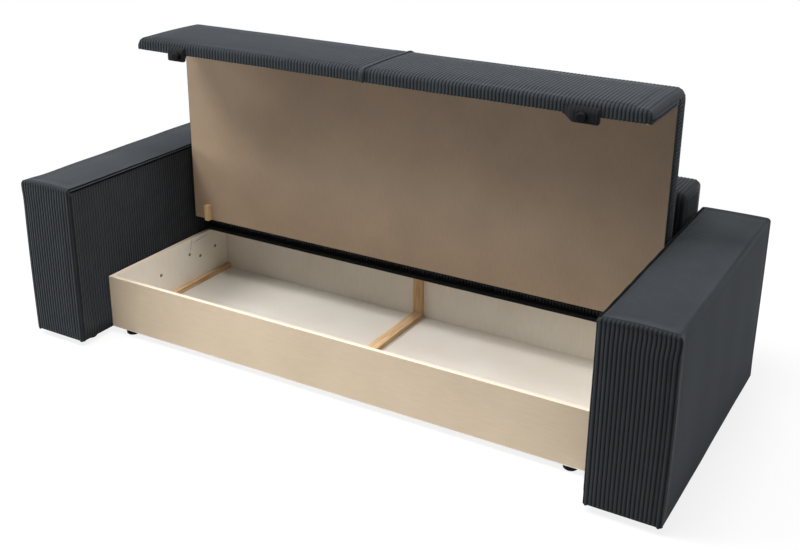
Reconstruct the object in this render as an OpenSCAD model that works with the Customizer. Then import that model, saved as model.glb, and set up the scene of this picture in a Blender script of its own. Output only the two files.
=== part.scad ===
// Sofa with a storage box under a seat that lifts on two side pivots.
// Origin: on the floor, midway between the arms and midway in depth. +Y is the back, +Z is up.
// The seat is drawn lifted, as it stands while the box is open.

/* [Overall] */
// Clear width between the two arms
seat_w = 2000; // [1500:10:2400]
// Depth from the arm fronts to the rear
depth = 1060; // [960:10:1200]
// Height of every foot under the body
foot_h = 25; // [15:1:40]
// Diameter of the feet under the body
foot_d = 50; // [30:1:60]
// Angle of the seat as drawn, with 0 closed and 90 lifted
lift_angle = 90; // [0:5:90]

/* [Arms] */
// Width of each arm
arm_w = 240; // [180:5:320]
// Height of an arm above its feet
arm_h = 600; // [520:5:700]
// Padding over the flat sides of an arm
side_pad_t = 10; // [6:1:14]
// Padding over the top of an arm
top_pad_t = 26; // [20:1:40]
// Ribbed padding on the front of an arm
front_pad_t = 16; // [12:1:24]
// Rounding along the top edges of an arm
arm_edge_r = 15; // [6:1:20]
// Rise of the arm's top at its middle
arm_crown = 4; // [1:1:8]
// Pitch of the ribs on the front of an arm
rib_pitch = 12.7; // [10:0.1:20]
// Height of those ribs
rib_rise = 3; // [1:0.5:5]

/* [Boards] */
// Thickness of the structural boards
board_t = 16; // [12:1:22]
// Thickness of the hardboard sheets
sheet_t = 3; // [2:0.5:5]
// Thickness of the black cloth under the arms and the back
dust_cloth_t = 1; // [0.5:0.25:2]

/* [Storage box] */
// Distance of the box front behind the arm fronts
box_setback = 162; // [120:1:200]
// Height of the box over its feet
box_h = 211; // [170:1:220]
// Width and height of the square floor battens
batten_w = 20; // [14:1:28]
// Width of the centre batten and of the cleat behind it
centre_batten_w = 40; // [30:1:60]
// Distance of the centre batten to the left of the middle
centre_batten_shift = 18; // [0:1:30]
// Distance of the left front foot from the left arm
left_foot_inset = 71; // [50:1:140]
// Distance of the right front foot from the right arm
right_foot_inset = 110; // [50:1:140]
// Diameter of the bolts that join the box to the arms
bolt_d = 8; // [6:1:10]

/* [Seat] */
// Side gap between the seat and each arm
seat_gap = 11; // [10:1:16]
// Height of the closed seat's underside over the floor
seat_under_z = 300; // [290:1:320]
// Overhang of the apron in front of the arms
apron_overhang = 41; // [20:1:60]
// Thickness of the seat with its cover
seat_t = 100; // [94:1:120]
// Length that the apron hangs below the underside
apron_drop = 267; // [240:1:275]
// Thickness of the apron with its cover
apron_t = 46; // [42:1:60]
// Height of the rails in the seat's frame
rail_h = 40; // [30:1:45]
// Thickness of the rails in the seat's frame
rail_t = 20; // [16:1:28]
// Rounding along the front top edge of the seat
seat_front_r = 55; // [35:1:60]
// Rounding along the rear top edge of the seat
seat_rear_r = 30; // [20:1:35]
// Rounding at the seat's two ends
seat_end_r = 28; // [16:1:28]
// Rounding of the apron's lower front edge
lip_r = 16; // [6:1:18]
// Rise of the seat's top at its middle
seat_crown = 12; // [2:1:16]
// Swell of the apron's front at its middle
apron_crown = 3; // [1:1:6]
// Width of the raised seam between the two seat pads
welt_w = 13; // [8:1:20]
// Height of that raised seam
welt_h = 4; // [2:0.5:6]
// Diameter of the feet under the apron
apron_foot_d = 32; // [24:1:40]
// Thickness of the pads that carry those feet
apron_pad_t = 14; // [6:1:16]

/* [Pivot] */
// Distance of the pivot in front of the seat's rear edge
pivot_inset = 37.5; // [36:0.5:40]
// Height of the pivot over the seat's underside
pivot_rise = 57.5; // [56:0.5:58]
// Diameter of the pivot pins
pin_d = 12; // [10:1:14]
// Thickness of the hinge plates
plate_t = 3; // [2:0.5:3.5]
// Diameter of the hinge plate screws
screw_d = 5; // [4:0.5:6]

/* [Back] */
// Height of the back over its feet
back_h = 700; // [640:5:800]
// Depth of the back behind the box
back_base_d = 192; // [170:2:260]
// Padding on the front of the back above the box
back_front_t = 23; // [16:1:30]
// Side gap between the back and each arm
back_gap = 11; // [6:1:16]
// Rounding along the top and the ends of the back
back_edge_r = 30; // [16:1:40]
// Rise of the back's front at its middle
back_crown = 8; // [1:1:12]
// Depth of the rail over the rear of the box
cross_rail_d = 123; // [118:1:126]
// Thickness of that rail
cross_rail_t = 18; // [14:1:20]
// Distance of the bolster behind the front of the rail
bolster_setback = 20; // [16:1:24]
// Height of the bolster
bolster_h = 30; // [20:1:32]

/* [Hidden] */
// Sides with which rounded shapes are drawn
$fn = 64;
// Overrun of every cut beyond the face that it opens
over = 1;
// Radial clearance of a bolt or screw in its hole
hole_clear = 0.25;
// Radial clearance of the pivot pins in the seat
pin_clear = 0.05;
// Gap between a pin's collar and the plate that turns past it
collar_clear = 0.3;

// Padding on the ends and the rear of the seat and the back
cheek_t = 10;
rear_cover_t = 6;
// Width of the cover that is folded under an edge
wrap_t = 4;
// Gap in front of the bolster for the seat's rear edge
bolster_gap = 5;
// Rounding of the pads beside the raised seam
seam_r = 8;
// Rounding of the arm cover's front and rear edges
arm_front_r = 7;
arm_rear_r = 18;
// Depth of the arm cover that is folded over the ribbed front
front_lip = 8;
// Rounding of the ribbed front's upright edges
front_corner_r = 12;
// Distance of the feet from the ends of an arm and from the front of the box
arm_foot_setback = 90;
box_foot_setback = 10;
// Section of the rails that carry feet
foot_rail_w = 60;
foot_rail_h = 28;
// Sizes of the pivot blocks and plates, measured from the pivot
block_front = 60;
block_above = 11;
block_w = 50;
pin_depth = 30;
pin_end_gap = 1;
plate_front = 58;
plate_rear = 18;
plate_below = 50;
plate_above = 9;
arm_plate_side = 36;
arm_plate_below = 26;
arm_plate_above = 46;
collar_d = 22;
pin_nut_d = 24;
pin_nut_t = 9;
screw_head_d = 9;
screw_len = 24;
screw_margin = 8;
// Sizes of the bolts' heads and nuts
bolt_head_d = 14;
bolt_head_h = 3;
bolt_nut_d = 18;
bolt_nut_t = 7;
nut_overlap = 1;
// Sizes of the short battens under the seat's rear corners
rest_batten_l = 65;
rest_batten_inset = 68;
// Places and outline of the pads under the apron
apron_foot_inset = 208;
apron_pad_out = 50;
apron_pad_in = 30;
apron_pad_chamfer = 25;
apron_pad_behind = 25;
apron_pad_front = 27;

// Shares of a length that shape the edges
foot_bevel_share = 0.15;
bolt_head_face_share = 0.7;
screw_head_share = 0.36;
arm_corner_share = 0.5;
end_rear_share = 0.33;
end_corner_share = 0.5;
back_end_share = 0.8;
back_rear_share = 0.66;
bolster_round_share = 0.3;
// Places of the bolts as shares of the box's depth and height
bolt_y_shares = [0.382, 0.634, 0.728, 0.868];
bolt_z_shares = [0.550, 0.683, 0.550, 0.602];

// Numbers of equal pieces and of steps round an edge
cross_rail_count = 5;
upright_count = 4;
edge_steps = 6;
crown_steps = 7;

// Colours
cloth = "#3a3f44";
raw_board = "#c4b29a";
pale_board = "#d9d2c8";
pine = "#c0a070";
black_plastic = "#141414";
steel = "#9a9c9e";

// Places shared by the pieces
arm_x = seat_w/2;
front_y = -depth/2;
rear_y = depth/2;
arm_top = foot_h + arm_h;
arm_frame_y = front_y + front_pad_t;
arm_frame_end = rear_y - rear_cover_t;
arm_frame_x = arm_x + side_pad_t;
arm_frame_x1 = arm_x + arm_w - side_pad_t;
arm_frame_top = arm_top - top_pad_t;
arm_foot_ys = [front_y + arm_foot_setback, rear_y - arm_foot_setback];
arm_foot_xs = [arm_frame_x + board_t + foot_d/2, arm_frame_x1 - board_t - foot_d/2];

box_y = front_y + box_setback;
box_in_y = box_y + board_t;
box_end = rear_y - back_base_d;
box_in_end = box_end - board_t;
box_z = foot_h + sheet_t;
box_top = foot_h + box_h;
box_in_x = arm_x - board_t;
batten_x = -centre_batten_shift;
bolt_places = [
    for (i = [0:len(bolt_y_shares) - 1])
        [box_y + bolt_y_shares[i]*(box_end - box_y), foot_h + bolt_z_shares[i]*box_h]
];

rail_y = box_end - cross_rail_d;
rail_top = box_top + cross_rail_t;
bolster_y = rail_y + bolster_setback;
bolster_top = rail_top + bolster_h;
back_y = box_end - back_front_t;
back_top = foot_h + back_h;
back_half_w = arm_x - back_gap;
back_frame_x = back_half_w - cheek_t;
back_frame_end = rear_y - rear_cover_t;
back_frame_top = back_top - top_pad_t;
back_foot_xs = [foot_rail_w/2 - back_frame_x, 0, back_frame_x - foot_rail_w/2];
back_foot_y = (box_end + back_frame_end)/2;

seat_half_w = arm_x - seat_gap;
seat_end = bolster_y - bolster_gap;
apron_y = front_y - apron_overhang;
apron_in_y = apron_y + apron_t;
seat_top = seat_under_z + seat_t;
lip_z = seat_under_z - apron_drop;
frame_half_w = seat_half_w - cheek_t;
frame_end = seat_end - rear_cover_t;
frame_z = seat_under_z + sheet_t;
frame_top = frame_z + rail_h;
deck_top = frame_top + sheet_t;

pivot_y = seat_end - pivot_inset;
pivot_z = seat_under_z + pivot_rise;
block_y = pivot_y - block_front;
block_top = pivot_z + block_above;
plate_space = seat_gap - 2*plate_t;
screw_head_h = plate_space*screw_head_share;
arm_screw_places = [
    for (y = [-1, 1], z = [screw_margin - arm_plate_below, arm_plate_above - screw_margin])
        [pivot_y + y*(arm_plate_side - screw_margin), pivot_z + z]
];
seat_screw_places = [
    [pivot_y - plate_front + screw_margin, pivot_z],
    [pivot_y - plate_front + screw_margin, pivot_z - plate_below + screw_margin],
    [pivot_y + plate_rear - screw_margin, pivot_z - plate_below + screw_margin]
];

// General shapes

// Turns a piece of the closed seat about the pivot axis to the angle drawn
module lifted() {
    translate([0, pivot_y, pivot_z])
        rotate([-lift_angle, 0, 0])
            translate([0, -pivot_y, -pivot_z])
                children();
}

// Repeats a piece on the other side of the middle
module both_sides() {
    children();
    mirror([1, 0, 0]) children();
}

// Box between two corners
module span(from, to) {
    translate(from) cube(to - from);
}

// Cylinder along X between two places
module rod_x(x0, x1, place, d, sides = $fn) {
    translate([x0, place[0], place[1]])
        rotate([0, 90, 0])
            cylinder(d = d, h = x1 - x0, $fn = sides);
}

// Round foot with a softened lower edge
module foot(d, h) {
    bevel = h*foot_bevel_share;
    color(black_plastic) rotate_extrude()
        polygon([[0, 0], [d/2 - bevel, 0], [d/2, bevel], [d/2, h], [0, h]]);
}

// Points of an arc about a centre
function arc(centre, r, from, to, steps) =
    [for (i = [0:steps]) let (a = from + (to - from)*i/steps) centre + r*[cos(a), sin(a)]];

// Swell along a span, 0 at both ends and 1 at the middle
function swell(share) = sin(180*share);

// Stations of a rounded end: distance from the end, inset of the skin, and share of the crown
function end_stations(r, steps) =
    [for (i = [0:steps]) let (a = 90*i/steps) [r*(1 - cos(a)), r*(1 - sin(a)), sin(a)]];

// Closed skin through a row of sections, each clockwise as seen from the row's far end.
// The two end faces fan out from one corner, the hub, which sees every other corner.
module loft(sections, hub = 0) {
    n = len(sections[0]);
    rows = len(sections);
    end = (rows - 1)*n;
    sides = [
        for (i = [0:rows - 2], j = [0:n - 1])
            let (a = i*n + j, b = i*n + (j + 1) % n)
            each [[a, b, a + n], [b, b + n, a + n]]
    ];
    caps = [
        for (j = [0:n - 1])
            let (k = (j + 1) % n)
            if (j != hub && k != hub)
                each [[hub, k, j], [end + hub, end + j, end + k]]
    ];
    polyhedron([for (s = sections) each s], concat(sides, caps), convexity = 6);
}

// Arms

// Section of an arm cover across its width, drawn in by an inset
function arm_section(inset, lift) =
    let (
        x1 = arm_x + arm_w - inset,
        z1 = arm_top - arm_crown - inset,
        r = arm_edge_r*(1 - arm_corner_share*inset/arm_rear_r)
    )
    concat(
        [[arm_x, foot_h], [x1, foot_h]],
        arc([x1 - r, z1 - r], r, 0, 90, edge_steps),
        [for (i = [1:crown_steps - 1]) let (s = i/crown_steps)
            [x1 - r - (x1 - arm_x - 2*r)*s, z1 + lift*swell(s)]],
        arc([arm_x + r, z1 - r], r, 90, 180, edge_steps)
    );

// Cover and foam of the right arm: top, sides and rear, folded over the ribbed front
module arm_pad() {
    first = front_y + arm_front_r;
    last = rear_y - arm_rear_r;
    stations = concat(
        [for (s = end_stations(arm_front_r, edge_steps)) [front_y + s[0], s[1], 0]],
        [for (i = [1:crown_steps - 1])
            [first + (last - first)*i/crown_steps, 0, arm_crown*swell(i/crown_steps)]],
        [for (i = [edge_steps:-1:0]) let (s = end_stations(arm_rear_r, edge_steps)[i])
            [rear_y - s[0], s[1], 0]]
    );
    color(cloth) difference() {
        loft([for (s = stations) [for (p = arm_section(s[1], s[2])) [p[0], s[0], p[1]]]]);
        span([arm_frame_x, front_y - over, foot_h - over],
             [arm_frame_x1, arm_frame_end, arm_frame_top]);
        span([arm_x - over, front_y - over, foot_h - over],
             [arm_x + arm_w + over, arm_frame_y, arm_top - front_lip]);
        arm_cheek_holes(arm_x - over, arm_frame_x + over);
    }
}

// Holes for the bolts, pins and screws through the inner side of the right arm
module arm_cheek_holes(x0, x1) {
    for (p = bolt_places)
        rod_x(x0, x1, p, bolt_d + 2*hole_clear);
    for (p = arm_screw_places)
        rod_x(x0, x1, p, screw_d + 2*hole_clear);
    rod_x(x0, x1, [pivot_y, pivot_z], pin_d + 2*hole_clear);
}

// Panel of upright ribs on the front of the right arm
module arm_front_pad() {
    ribs = floor(arm_w/rib_pitch);
    r = (pow(rib_pitch/2, 2) + pow(rib_rise, 2))/(2*rib_rise);
    first = arm_x + arm_w/2 - ribs*rib_pitch/2;
    top = arm_top - front_lip;
    y = front_y + rib_rise;
    corner = min(front_corner_r, arm_frame_y - y);
    color(cloth) union() {
        span([arm_x + corner, y, foot_h], [arm_x + arm_w - corner, arm_frame_y, top]);
        span([arm_x, y + corner, foot_h], [arm_x + arm_w, arm_frame_y, top]);
        intersection() {
            span([arm_x, y, foot_h], [arm_x + arm_w, arm_frame_y, top]);
            for (x = [arm_x + corner, arm_x + arm_w - corner])
                translate([x, y + corner, foot_h]) cylinder(r = corner, h = top - foot_h);
        }
        intersection() {
            span([first, front_y, foot_h], [first + ribs*rib_pitch, arm_frame_y, top]);
            for (i = [0:ribs - 1])
                translate([first + rib_pitch*(i + 1/2), front_y + r, foot_h])
                    cylinder(r = r, h = top - foot_h);
        }
    }
}

// Inner and outer panel of the right arm's frame
module arm_side_panels() {
    color(raw_board) difference() {
        for (x = [arm_frame_x, arm_frame_x1 - board_t])
            span([x, arm_frame_y, foot_h], [x + board_t, arm_frame_end, arm_frame_top - board_t]);
        arm_cheek_holes(arm_frame_x - over, arm_frame_x + board_t + over);
    }
}

// Front and rear board between those panels
module arm_end_boards() {
    color(raw_board)
        for (y = [arm_frame_y, arm_frame_end - board_t])
            span([arm_frame_x + board_t, y, foot_h],
                 [arm_frame_x1 - board_t, y + board_t, arm_frame_top - board_t]);
}

// Board under the padding on top of the right arm
module arm_top_board() {
    color(raw_board)
        span([arm_frame_x, arm_frame_y, arm_frame_top - board_t],
             [arm_frame_x1, arm_frame_end, arm_frame_top]);
}

// Cross rails low in the right arm, which its feet are screwed to
module arm_foot_rails() {
    color(pine)
        for (y = arm_foot_ys)
            span([arm_frame_x + board_t, y - foot_rail_w/2, foot_h],
                 [arm_frame_x1 - board_t, y + foot_rail_w/2, foot_h + foot_rail_h]);
}

// Black cloth under the right arm, open at the feet
module arm_dust_cloth() {
    color(black_plastic) difference() {
        span([arm_x + wrap_t, front_y + wrap_t, foot_h - dust_cloth_t],
             [arm_x + arm_w - wrap_t, rear_y - wrap_t, foot_h]);
        for (x = arm_foot_xs, y = arm_foot_ys)
            foot_hole(x, y);
    }
}

// Hole in the cloth for a foot
module foot_hole(x, y) {
    translate([x, y, foot_h - dust_cloth_t - over])
        cylinder(d = foot_d + 2*hole_clear, h = dust_cloth_t + 2*over);
}

// Two feet under each of those rails
module arm_feet() {
    for (x = arm_foot_xs, y = arm_foot_ys)
        translate([x, y, 0]) foot(foot_d, foot_h);
}

// Storage box

// Long board at the front of the box
module box_front_board() {
    color(raw_board) span([-arm_x, box_y, box_z], [arm_x, box_in_y, box_top]);
}

// Long board at the rear of the box
module box_rear_board() {
    color(pale_board) span([-arm_x, box_in_end, box_z], [arm_x, box_end, box_top]);
}

// Short board at the right end of the box, bolted to the arm
module box_side() {
    color(pale_board) difference() {
        span([box_in_x, box_in_y, box_z], [arm_x, box_in_end, box_top]);
        for (p = bolt_places)
            rod_x(box_in_x - over, arm_x + over, p, bolt_d + 2*hole_clear);
    }
}

// Hardboard floor sheet between two places, which meets the other under the centre batten
module box_floor(x0, x1) {
    color(pale_board) span([x0, box_y, foot_h], [x1, box_end, box_z]);
}

// Square battens on the floor along both ends of the box
module box_side_battens() {
    color(pine) both_sides()
        span([box_in_x - batten_w, box_in_y, box_z], [box_in_x, box_in_end, box_z + batten_w]);
}

// Flat batten over the joint in the floor
module box_centre_batten() {
    color(pine)
        span([batten_x - centre_batten_w/2, box_in_y, box_z],
             [batten_x + centre_batten_w/2, box_in_end, box_z + batten_w]);
}

// Upright cleat on the rear board, under the rail
module box_rear_cleat() {
    color(pine)
        span([batten_x - centre_batten_w/2, box_in_end - board_t, box_z + batten_w],
             [batten_x + centre_batten_w/2, box_in_end, box_top]);
}

// Feet under the corners of the box
module box_feet() {
    inset = box_foot_setback + foot_d/2;
    for (y = [box_y + inset, box_end - inset]) {
        translate([left_foot_inset - arm_x, y, 0]) foot(foot_d, foot_h);
        translate([arm_x - right_foot_inset, y, 0]) foot(foot_d, foot_h);
    }
}

// Bolts from inside the box into the arms
module arm_bolts() {
    color(steel) both_sides()
        for (p = bolt_places) {
            rod_x(box_in_x, arm_frame_x + board_t + bolt_nut_t + nut_overlap, p, bolt_d);
            translate([box_in_x, p[0], p[1]])
                rotate([0, -90, 0])
                    cylinder(d1 = bolt_head_d, d2 = bolt_head_d*bolt_head_face_share, h = bolt_head_h);
        }
}

// Nuts of those bolts, inside the arms
module arm_bolt_nuts() {
    color(steel) both_sides()
        for (p = bolt_places)
            nut_x(arm_frame_x + board_t, p, bolt_nut_d, bolt_nut_t, bolt_d);
}

// Six-sided nut on a bolt along X
module nut_x(x, place, d, t, bore) {
    difference() {
        rod_x(x, x + t, place, d, 6);
        rod_x(x - over, x + t + over, place, bore + 2*hole_clear);
    }
}

// Back, and the rail and bolster below it

// Covered rail across the rear of the box
module rear_cross_rail() {
    color(cloth) span([-arm_x, rail_y, box_top], [arm_x, box_end, rail_top]);
}

// Low bolster that fills the gap behind the closed seat
module rear_bolster() {
    r = bolster_h*bolster_round_share;
    color(cloth) union() {
        span([-back_half_w, bolster_y + r, rail_top], [back_half_w, back_y, bolster_top]);
        span([-back_half_w, bolster_y, rail_top], [back_half_w, back_y, bolster_top - r]);
        rod_x(-back_half_w, back_half_w, [bolster_y + r, bolster_top - r], 2*r);
    }
}

// Section of the back cover across its depth, drawn in by an inset
function back_section(inset, lift) =
    let (
        s = inset/(back_edge_r*back_end_share),
        y0 = back_y + s*back_end_share*back_front_t,
        y1 = rear_y - inset*back_rear_share,
        z1 = back_top - inset,
        r = back_edge_r*(1 - end_corner_share*s)
    )
    concat(
        [[box_end, foot_h], [box_end, rail_top], [y0, rail_top]],
        [for (i = [0:crown_steps - 1]) let (k = i/crown_steps)
            [y0 - lift*swell(k), bolster_top + (z1 - r - bolster_top)*k]],
        arc([y0 + r, z1 - r], r, 180, 90, edge_steps),
        arc([y1 - r, z1 - r], r, 90, 0, edge_steps),
        [[y1, foot_h]]
    );

// Cover and foam of the back
module back_pad() {
    ends = end_stations(back_edge_r*back_end_share, edge_steps);
    inner = back_half_w - back_edge_r*back_end_share;
    stations = concat(
        [for (s = ends) [s[0] - back_half_w, s[1], back_crown*s[2]]],
        [for (i = [1:crown_steps - 1]) [inner*(2*i/crown_steps - 1), 0, back_crown]],
        [for (i = [edge_steps:-1:0]) [back_half_w - ends[i][0], ends[i][1], back_crown*ends[i][2]]]
    );
    color(cloth) difference() {
        loft([for (s = stations) [for (p = back_section(s[1], s[2])) [s[0], p[0], p[1]]]], hub = 1);
        span([-back_frame_x, box_end - over, foot_h - over],
             [back_frame_x, back_frame_end, back_frame_top]);
    }
}

// Front panel of the back's frame
module back_front_panel() {
    color(raw_board)
        span([-back_frame_x, box_end, foot_h], [back_frame_x, box_end + board_t, back_frame_top - board_t]);
}

// Rear panel of the back's frame
module back_rear_panel() {
    color(raw_board)
        span([-back_frame_x, back_frame_end - board_t, foot_h],
             [back_frame_x, back_frame_end, back_frame_top - board_t]);
}

// Board along the top of the back's frame
module back_top_board() {
    color(raw_board)
        span([-back_frame_x, box_end, back_frame_top - board_t],
             [back_frame_x, back_frame_end, back_frame_top]);
}

// Uprights between the panels of the back
module back_uprights() {
    pitch = (2*back_frame_x - board_t)/(upright_count - 1);
    color(raw_board)
        for (i = [0:upright_count - 1])
            span([i*pitch - back_frame_x, box_end + board_t, foot_h + foot_rail_h],
                 [i*pitch - back_frame_x + board_t, back_frame_end - board_t, back_frame_top - board_t]);
}

// Cross rails low in the back, which its feet are screwed to
module back_foot_rails() {
    color(pine)
        for (x = back_foot_xs)
            span([x - foot_rail_w/2, box_end + board_t, foot_h],
                 [x + foot_rail_w/2, back_frame_end - board_t, foot_h + foot_rail_h]);
}

// Black cloth under the back, open at the feet
module back_dust_cloth() {
    color(black_plastic) difference() {
        span([wrap_t - back_half_w, box_end + wrap_t, foot_h - dust_cloth_t],
             [back_half_w - wrap_t, rear_y - wrap_t, foot_h]);
        for (x = back_foot_xs)
            foot_hole(x, back_foot_y);
    }
}

// Feet under the back
module back_feet() {
    for (x = back_foot_xs)
        translate([x, back_foot_y, 0]) foot(foot_d, foot_h);
}

// Pivots on the arms

// Steel plates on the inner sides of the arms
module arm_pivot_plates() {
    color(steel) both_sides() difference() {
        span([arm_x - plate_t, pivot_y - arm_plate_side, pivot_z - arm_plate_below],
             [arm_x, pivot_y + arm_plate_side, pivot_z + arm_plate_above]);
        arm_cheek_holes(arm_x - plate_t - over, arm_x + over);
    }
}

// Shoulder pins that the seat turns on
module pivot_pins() {
    place = [pivot_y, pivot_z];
    color(steel) both_sides() {
        rod_x(frame_half_w - pin_depth + pin_end_gap,
              arm_frame_x + board_t + pin_nut_t + nut_overlap, place, pin_d);
        rod_x(seat_half_w + plate_t + collar_clear, arm_x - plate_t, place, collar_d);
    }
}

// Nuts of those pins, inside the arms
module pivot_nuts() {
    color(steel) both_sides()
        nut_x(arm_frame_x + board_t, [pivot_y, pivot_z], pin_nut_d, pin_nut_t, pin_d);
}

// Screws of the arms' plates
module arm_plate_screws() {
    color(steel) both_sides()
        for (p = arm_screw_places) {
            rod_x(arm_x - plate_t, arm_x - plate_t + screw_len, p, screw_d);
            rod_x(arm_x - plate_t - screw_head_h, arm_x - plate_t, p, screw_head_d);
        }
}

// Seat, drawn closed and then lifted

// Beige sheet that closes the seat from below
module seat_underboard() {
    color(raw_board) lifted()
        span([wrap_t - seat_half_w, apron_in_y, seat_under_z],
             [seat_half_w - wrap_t, seat_end - wrap_t, frame_z]);
}

// Rails along the front and rear of the seat's frame
module seat_long_rails() {
    color(pine) lifted() {
        span([-frame_half_w, apron_in_y, frame_z], [frame_half_w, apron_in_y + rail_t, frame_top]);
        span([block_w - frame_half_w, frame_end - rail_t, frame_z],
             [frame_half_w - block_w, frame_end, frame_top]);
    }
}

// Rails from front to rear in the seat's frame
module seat_cross_rails() {
    pitch = (2*frame_half_w - rail_t)/(cross_rail_count - 1);
    color(pine) lifted()
        for (i = [0:cross_rail_count - 1])
            let (end = i == 0 || i == cross_rail_count - 1)
            span([i*pitch - frame_half_w, apron_in_y + rail_t, frame_z],
                 [i*pitch - frame_half_w + rail_t, end ? block_y : frame_end - rail_t, frame_top]);
}

// Hardboard deck under the foam of the seat
module seat_deck() {
    color(raw_board) lifted() difference() {
        span([-frame_half_w, apron_in_y, frame_top], [frame_half_w, frame_end, deck_top]);
        both_sides()
            span([frame_half_w - block_w, block_y, frame_top - over],
                 [frame_half_w + over, frame_end + over, deck_top + over]);
    }
}

// Hardwood blocks at the rear corners, which turn on the pins
module pivot_blocks() {
    color(pine) lifted() both_sides() difference() {
        span([frame_half_w - block_w, block_y, frame_z], [frame_half_w, frame_end, block_top]);
        rod_x(frame_half_w - pin_depth, frame_half_w + over, [pivot_y, pivot_z], pin_d + 2*pin_clear);
        seat_screw_holes(frame_half_w - pin_depth, frame_half_w + over);
    }
}

// Holes for the screws of the right seat plate
module seat_screw_holes(x0, x1) {
    for (p = seat_screw_places)
        rod_x(x0, x1, p, screw_d + 2*hole_clear);
}

// Short battens under the seat's rear corners
module seat_rest_battens() {
    x = seat_half_w - rest_batten_inset;
    y = seat_end - wrap_t;
    color(pine) lifted() both_sides()
        span([x - batten_w, y - rest_batten_l, seat_under_z - batten_w], [x, y, seat_under_z]);
}

// Board that stiffens the apron
module apron_board() {
    color(raw_board) lifted()
        span([-frame_half_w, apron_in_y - board_t, lip_z + wrap_t], [frame_half_w, apron_in_y, frame_top]);
}

// Pads under the apron, chamfered on one side, which carry its feet
module apron_foot_pads() {
    y0 = apron_in_y - apron_pad_front;
    y1 = apron_in_y + apron_pad_behind;
    color(cloth) lifted() both_sides()
        translate([seat_half_w - apron_foot_inset, 0, lip_z - apron_pad_t])
            linear_extrude(height = apron_pad_t)
                polygon([
                    [-apron_pad_in - apron_pad_chamfer, y0], [apron_pad_out, y0], [apron_pad_out, y1],
                    [-apron_pad_in, y1], [-apron_pad_in - apron_pad_chamfer, apron_in_y]
                ]);
}

// Feet under the apron, which meet the floor when the seat is closed
module apron_feet() {
    lifted() both_sides()
        translate([seat_half_w - apron_foot_inset, apron_in_y, 0])
            foot(apron_foot_d, lip_z - apron_pad_t);
}

// Section of the seat cover from the apron's lower edge over the top, drawn in by an inset
function seat_section(inset, lift) =
    let (
        s = inset/seat_end_r,
        y0 = apron_y + inset,
        y1 = seat_end - inset*end_rear_share,
        z0 = lip_z + inset*end_rear_share,
        z1 = seat_top - inset,
        rl = lip_r*(1 - end_corner_share*s),
        rf = seat_front_r - inset,
        rr = seat_rear_r*(1 - end_corner_share*s)
    )
    concat(
        [[apron_in_y, z0]],
        arc([y0 + rl, z0 + rl], rl, 270, 180, edge_steps),
        [for (i = [1:crown_steps - 1]) let (k = i/crown_steps)
            [y0 - lift*apron_crown*swell(k), z0 + rl + (z1 - rf - z0 - rl)*k]],
        arc([y0 + rf, z1 - rf], rf, 180, 90, edge_steps),
        [for (i = [1:crown_steps - 1]) let (k = i/crown_steps)
            [y0 + rf + (y1 - rr - y0 - rf)*k, z1 + lift*seat_crown*swell(k)]],
        arc([y1 - rr, z1 - rr], rr, 90, 0, edge_steps),
        [[y1, seat_under_z], [apron_in_y, seat_under_z]]
    );

// Skin of a seat cover through a row of stations along X
module seat_skin(stations) {
    sections = [for (s = stations) [for (p = seat_section(s[1], s[2])) [s[0], p[0], p[1]]]];
    loft(sections, hub = len(sections[0]) - 1);
}

// Everything that lies inside the seat covers
module seat_hollows() {
    span([wrap_t - seat_half_w, apron_in_y, seat_under_z - over],
         [seat_half_w - wrap_t, seat_end - wrap_t, frame_z]);
    span([-frame_half_w, apron_in_y, seat_under_z], [frame_half_w, frame_end, deck_top]);
    span([-frame_half_w, apron_in_y - board_t, lip_z + wrap_t],
         [frame_half_w, apron_in_y + over, frame_top]);
    both_sides() {
        span([frame_half_w - block_w, block_y, seat_under_z], [frame_half_w, frame_end, block_top]);
        rod_x(frame_half_w - over, seat_half_w + over, [pivot_y, pivot_z], pin_d + 2*hole_clear);
        seat_screw_holes(frame_half_w - over, seat_half_w + over);
    }
}

// Cover and foam of the right half of the seat, rolled over the front edge and down the apron
module seat_pad() {
    first = welt_w/2 + seam_r;
    last = seat_half_w - seat_end_r;
    stations = concat(
        [for (s = end_stations(seam_r, edge_steps)) [welt_w/2 + s[0], s[1], 1]],
        [for (i = [1:crown_steps - 1]) [first + (last - first)*i/crown_steps, 0, 1]],
        [for (i = [edge_steps:-1:0]) let (s = end_stations(seat_end_r, edge_steps)[i])
            [seat_half_w - s[0], s[1], s[2]]]
    );
    color(cloth) difference() {
        seat_skin(stations);
        seat_hollows();
    }
}

// Raised seam between the two seat pads
module seat_welt() {
    ends = end_stations(welt_h, edge_steps);
    stations = concat(
        [for (s = ends) [s[0] - welt_w/2, s[1] - welt_h, 1]],
        [for (i = [edge_steps:-1:0]) [welt_w/2 - ends[i][0], ends[i][1] - welt_h, 1]]
    );
    color(cloth) lifted() difference() {
        seat_skin(stations);
        seat_hollows();
    }
}

// Steel plates on the seat's ends
module seat_pivot_plates() {
    color(steel) lifted() both_sides() difference() {
        span([seat_half_w, pivot_y - plate_front, pivot_z - plate_below],
             [seat_half_w + plate_t, pivot_y + plate_rear, pivot_z + plate_above]);
        rod_x(seat_half_w - over, seat_half_w + plate_t + over, [pivot_y, pivot_z], pin_d + 2*pin_clear);
        seat_screw_holes(seat_half_w - over, seat_half_w + plate_t + over);
    }
}

// Screws of the seat's plates
module seat_plate_screws() {
    x = seat_half_w + plate_t;
    color(steel) lifted() both_sides()
        for (p = seat_screw_places) {
            rod_x(x - screw_len, x, p, screw_d);
            rod_x(x, x + screw_head_h, p, screw_head_d);
        }
}

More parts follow.
